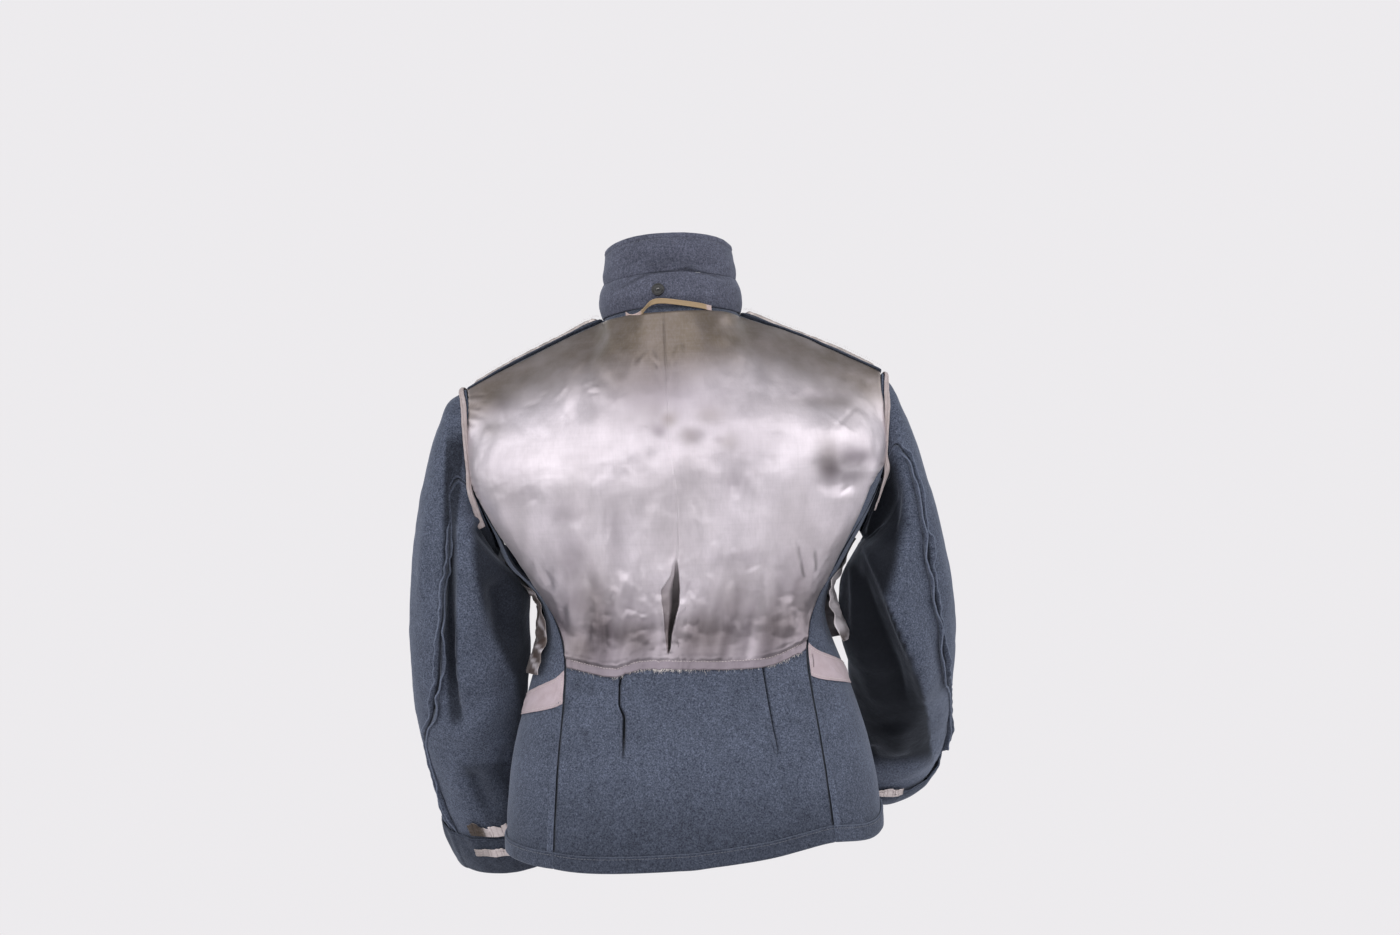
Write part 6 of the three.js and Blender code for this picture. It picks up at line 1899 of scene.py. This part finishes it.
# Column of the under sleeve at which each binding ends, and that of the upper sleeve where it starts.
BINDING_ENDS = {"left": 19, "right": 24}
BINDING_STARTS = 6
binding_cotton = cotton_material("cotton_binding", (0.50, 0.43, 0.44), (0.33, 0.27, 0.26), 350)
for side_name, side in SIDES:
    upper, upper_out = sleeves[side_name, True][:2]
    under, under_out = sleeves[side_name, False][:2]
    from_upper, from_under = slice(BINDING_STARTS, None), slice(1, BINDING_ENDS[side_name])
    start = np.concatenate([upper[0, from_upper], under[0, from_under]])
    nxt = np.concatenate([upper[3, from_upper], under[3, from_under]])
    out = np.concatenate([upper_out[1, from_upper], under_out[1, from_under]])
    fine = cells(0, len(start) - 1, 3)
    start, nxt, out = spline_at(start, fine), spline_at(nxt, fine), spline_at(out, fine)
    way_out = unit(nxt - start)
    along = way_along(start)
    rows, marks = [], []
    for share in np.linspace(0, 1, 15):
        roll = math.sin(math.pi * share) ** 0.7
        crease = bell(share - 0.5, 0.07)
        wave = waves(along / 16, share * 1.1, side * 4)
        rough = waves(along / 4.5, share * 3, side * 8)
        across = BINDING_WIDTH * share + (0.9 * wave + 0.5 * rough) * (share - 0.3)
        rise = WOOL / 2 + 2.1 + 1.6 * roll - 0.8 * crease + 0.7 * wave + 0.45 * rough
        rows.append(start + way_out * across[:, None] + out * rise[:, None])
        # The band is stained unevenly, and darker along its middle crease with painted shade.
        marks.append(np.clip(0.35 + 0.5 * rough + 0.5 * crease, 0, 1))
    rows = np.array(rows)
    normal = facing(rows, (side * 120, 0, -180))
    normal *= -1 if np.sum(normal[7] * out) < 0 else 1
    name = f"armhole_binding_{side_name}"
    band = cloth(name + "_cloth", rows, normal, TAPE, binding_cotton, marks={"stain": np.array(marks)})
    wear(band, name)


# ---- Hanger loop ----
# A loop of tan tape sewn into the neck seam at the back. Its left end sags and is twisted.
HANGER = [
    (46, -1), (42, -4), (36, -4), (30, -1), (24, 5), (18, 9), (8, 10), (-10, 7.5), (-30, 4), (-38, 2),
    (-42, 1),
]
HANGER_WIDTH = 5
# How far the loop lies behind the neck seam.
HANGER_OFF = 6.2
# Places along the loop between which it is tan; its ends are pink.
TAN_FROM, TAN_TO = 0.33, 0.86
tan_tape = cotton_material("tan_tape", (0.50, 0.39, 0.39), (0.33, 0.235, 0.14), 420)
line = spline_at(np.array(HANGER, float), cells(0, len(HANGER) - 1, 9))
place = np.linspace(0, 1, len(line))
x, z = line.T
seam_y = NECK_BACK * np.sqrt(np.maximum(1 - (x / NECK_HALF) ** 2, 0))
twist = 0.9 * bell(place - 0.38, 0.1)
slack = 2 * np.sin(math.pi * np.minimum(place * 1.6, 1))
tan = 1 - np.clip(smooth((TAN_FROM - place) / 0.06) + smooth((place - TAN_TO) / 0.04), 0, 1)
rows = []
for share in np.linspace(-0.5, 0.5, 9):
    across = HANGER_WIDTH * share
    hollow = -0.3 * math.cos(math.pi * share)
    y = seam_y + HANGER_OFF + slack + 0.8 * across * np.sin(twist) + hollow
    rows.append(np.stack([x, y, z + across * np.cos(twist)], -1))
rows = np.array(rows)
hanger = cloth("hanger_loop_cloth", rows, facing(rows, (0, -20, 0)), TAPE, tan_tape, marks={"stain": tan})
wear(hanger, "hanger_loop")


# ---- Buttons ----
# Dished two-hole horn buttons: one on the collar stand, shanked with black thread, and five down the
# closed front on the inner side.
FRONT_BUTTON = (0.0083, 0.0032)
COLLAR_BUTTON = (0.0066, 0.0029)
BUTTON_JOIN = 0.00002
# Width of each ring from the rim inwards, as a share of the radius, and its depth, of the thickness.
BUTTON_RINGS = [(0.16, 0), (0.1, 0.22), (0.35, 0.08)]
HOLE_APART, HOLE_RADIUS = 0.21, 0.13
BUTTON_HEIGHTS = [-105, -195, -285, -375, -465]
COLLAR_BUTTON_AT = (11.5, 21.5)
# Height of the threads on a button, half their length, how deep their ends go, their bow, how far each
# lies from the middle, their radius.
FRONT_THREADS = (2.6, 1.7, 1.6, 0.25, 0.35, 0.34)
COLLAR_THREADS = (2.2, 1.3, 1.5, 0.3, 0.3, 0.3)


def horn_material():
    paint = Paint("black_horn", {"Specular IOR Level": 0.35, "Coat Weight": 0.15, "Coat Roughness": 0.25})
    streaks = paint.clouds(300, 6)
    paint.lead(paint.blended(streaks, (0.006, 0.006, 0.007), (0.030, 0.028, 0.028)), "Base Color")
    paint.lead(paint.spread(streaks, 0, 1, 0.22, 0.5), "Roughness")
    return paint.material


def turned_button(name, radius, thick):
    """A turned button lying on its back: dished face, rounded rim, two holes."""
    bpy.ops.object.select_all(action="DESELECT")
    middle = (0, 0, thick / 2)
    bpy.ops.mesh.primitive_cylinder_add(vertices=40, radius=radius, depth=thick, location=middle)
    button = bpy.context.object
    button.name = name
    mesh = button.data
    bpy.ops.object.mode_set(mode="EDIT")
    bpy.ops.mesh.select_mode(type="FACE")
    bpy.ops.mesh.select_all(action="DESELECT")
    bpy.ops.object.mode_set(mode="OBJECT")
    for face in mesh.polygons:
        face.select = face.normal.z > 0.9
    bpy.ops.object.mode_set(mode="EDIT")
    for wide, deep in BUTTON_RINGS:
        bpy.ops.mesh.inset(thickness=radius * wide, depth=-thick * deep)
    bpy.ops.object.mode_set(mode="OBJECT")
    edges = button.modifiers.new("rim", "BEVEL")
    edges.width = thick * 0.22
    edges.segments = 3
    edges.limit_method = "ANGLE"
    bpy.ops.object.modifier_apply(modifier="rim")
    for side in (-1, 1):
        bpy.ops.object.select_all(action="DESELECT")
        place = (side * HOLE_APART * radius, 0, 0)
        size = {"radius": radius * HOLE_RADIUS, "depth": thick * 3}
        bpy.ops.mesh.primitive_cylinder_add(vertices=14, location=place, **size)
        drill = bpy.context.object
        bpy.ops.object.select_all(action="DESELECT")
        button.select_set(True)
        bpy.context.view_layer.objects.active = button
        cut = button.modifiers.new("hole", "BOOLEAN")
        cut.object = drill
        cut.operation = "DIFFERENCE"
        cut.solver = "EXACT"
        bpy.ops.object.modifier_apply(modifier="hole")
        bpy.data.objects.remove(drill, do_unlink=True)
    # Faces of no width, left where the bevels meet, are closed up.
    bpy.ops.object.mode_set(mode="EDIT")
    bpy.ops.mesh.select_all(action="SELECT")
    bpy.ops.mesh.remove_doubles(threshold=BUTTON_JOIN)
    bpy.ops.mesh.dissolve_degenerate(threshold=BUTTON_JOIN)
    bpy.ops.mesh.quads_convert_to_tris()
    bpy.ops.mesh.dissolve_degenerate(threshold=BUTTON_JOIN)
    bpy.ops.object.mode_set(mode="OBJECT")
    bpy.ops.object.shade_smooth_by_angle(angle=0.7)
    mesh.materials.clear()
    mesh.materials.append(horn)
    return button


def placed(pattern, name, seat, out, upward):
    """Sets a copy of a button down on its seat, facing out, in place of its plain solid."""
    out = Vector(out).normalized()
    across = Vector(upward).cross(out).normalized()
    matrix = Matrix((across, out.cross(across), out)).transposed().to_4x4()
    matrix.translation = Vector(seat) * MM
    mesh = pattern.data.copy()
    mesh.name = name + "_horn"
    mesh.transform(matrix)
    button = added(name + "_horn", mesh)
    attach(button, "root")
    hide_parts(name)


def sewn(seat, out, upward, high, reach, sink, bow, apart, radius):
    """Two threads across the middle of a button, both ends going down into its holes."""
    across = unit(np.cross(upward, out))
    top = seat + out * high
    end = across * (reach + 0.1)
    down = out * sink
    run = [top - end - down, top - across * reach, top + out * bow, top + across * reach, top + end - down]
    for lift in (-apart, apart):
        threads.append(np.array(run) + np.array((0, 0, lift)))
        thread_outs.append(np.tile(out, (len(run), 1)))
        thread_radii.append(np.full(len(run), radius))


threads, thread_outs, thread_radii = [], [], []
horn = horn_material()
pattern = turned_button("button_pattern", *FRONT_BUTTON)
small_pattern = turned_button("small_button_pattern", *COLLAR_BUTTON)
sheet, sheet_facing, _, _ = fronts["right"]
centre_column = (SIDE_CELLS + len(FRONT_ACROSS) + 1) * FRONT_FINE
for i, z in enumerate(BUTTON_HEIGHTS):
    place, out = at_height(sheet, sheet_facing, centre_column, z)
    seat = place - out * (WOOL / 2 + GAP)
    placed(pattern, f"front_button_{i + 1}", seat, -out, (0, 0, 1))
    sewn(seat, -out, (0, 0, 1), *FRONT_THREADS)
x, z = COLLAR_BUTTON_AT
sheet, sheet_facing = collar["collar_stand"]
place, out = at_height(sheet, sheet_facing, column_at(sheet, x, z), z)
seat = place + out * (WOOL / 2 + GAP + 0.2)
placed(small_pattern, "collar_button", seat, out, (0.25, 0, 1))
sewn(seat, out, (0.25, 0, 1), *COLLAR_THREADS)
button_thread = thread_material("button_thread", (0.20, 0.19, 0.19))
tubes("button_threads", threads, thread_outs, thread_radii, button_thread)
for one in (pattern, small_pattern):
    bpy.data.objects.remove(one, do_unlink=True)
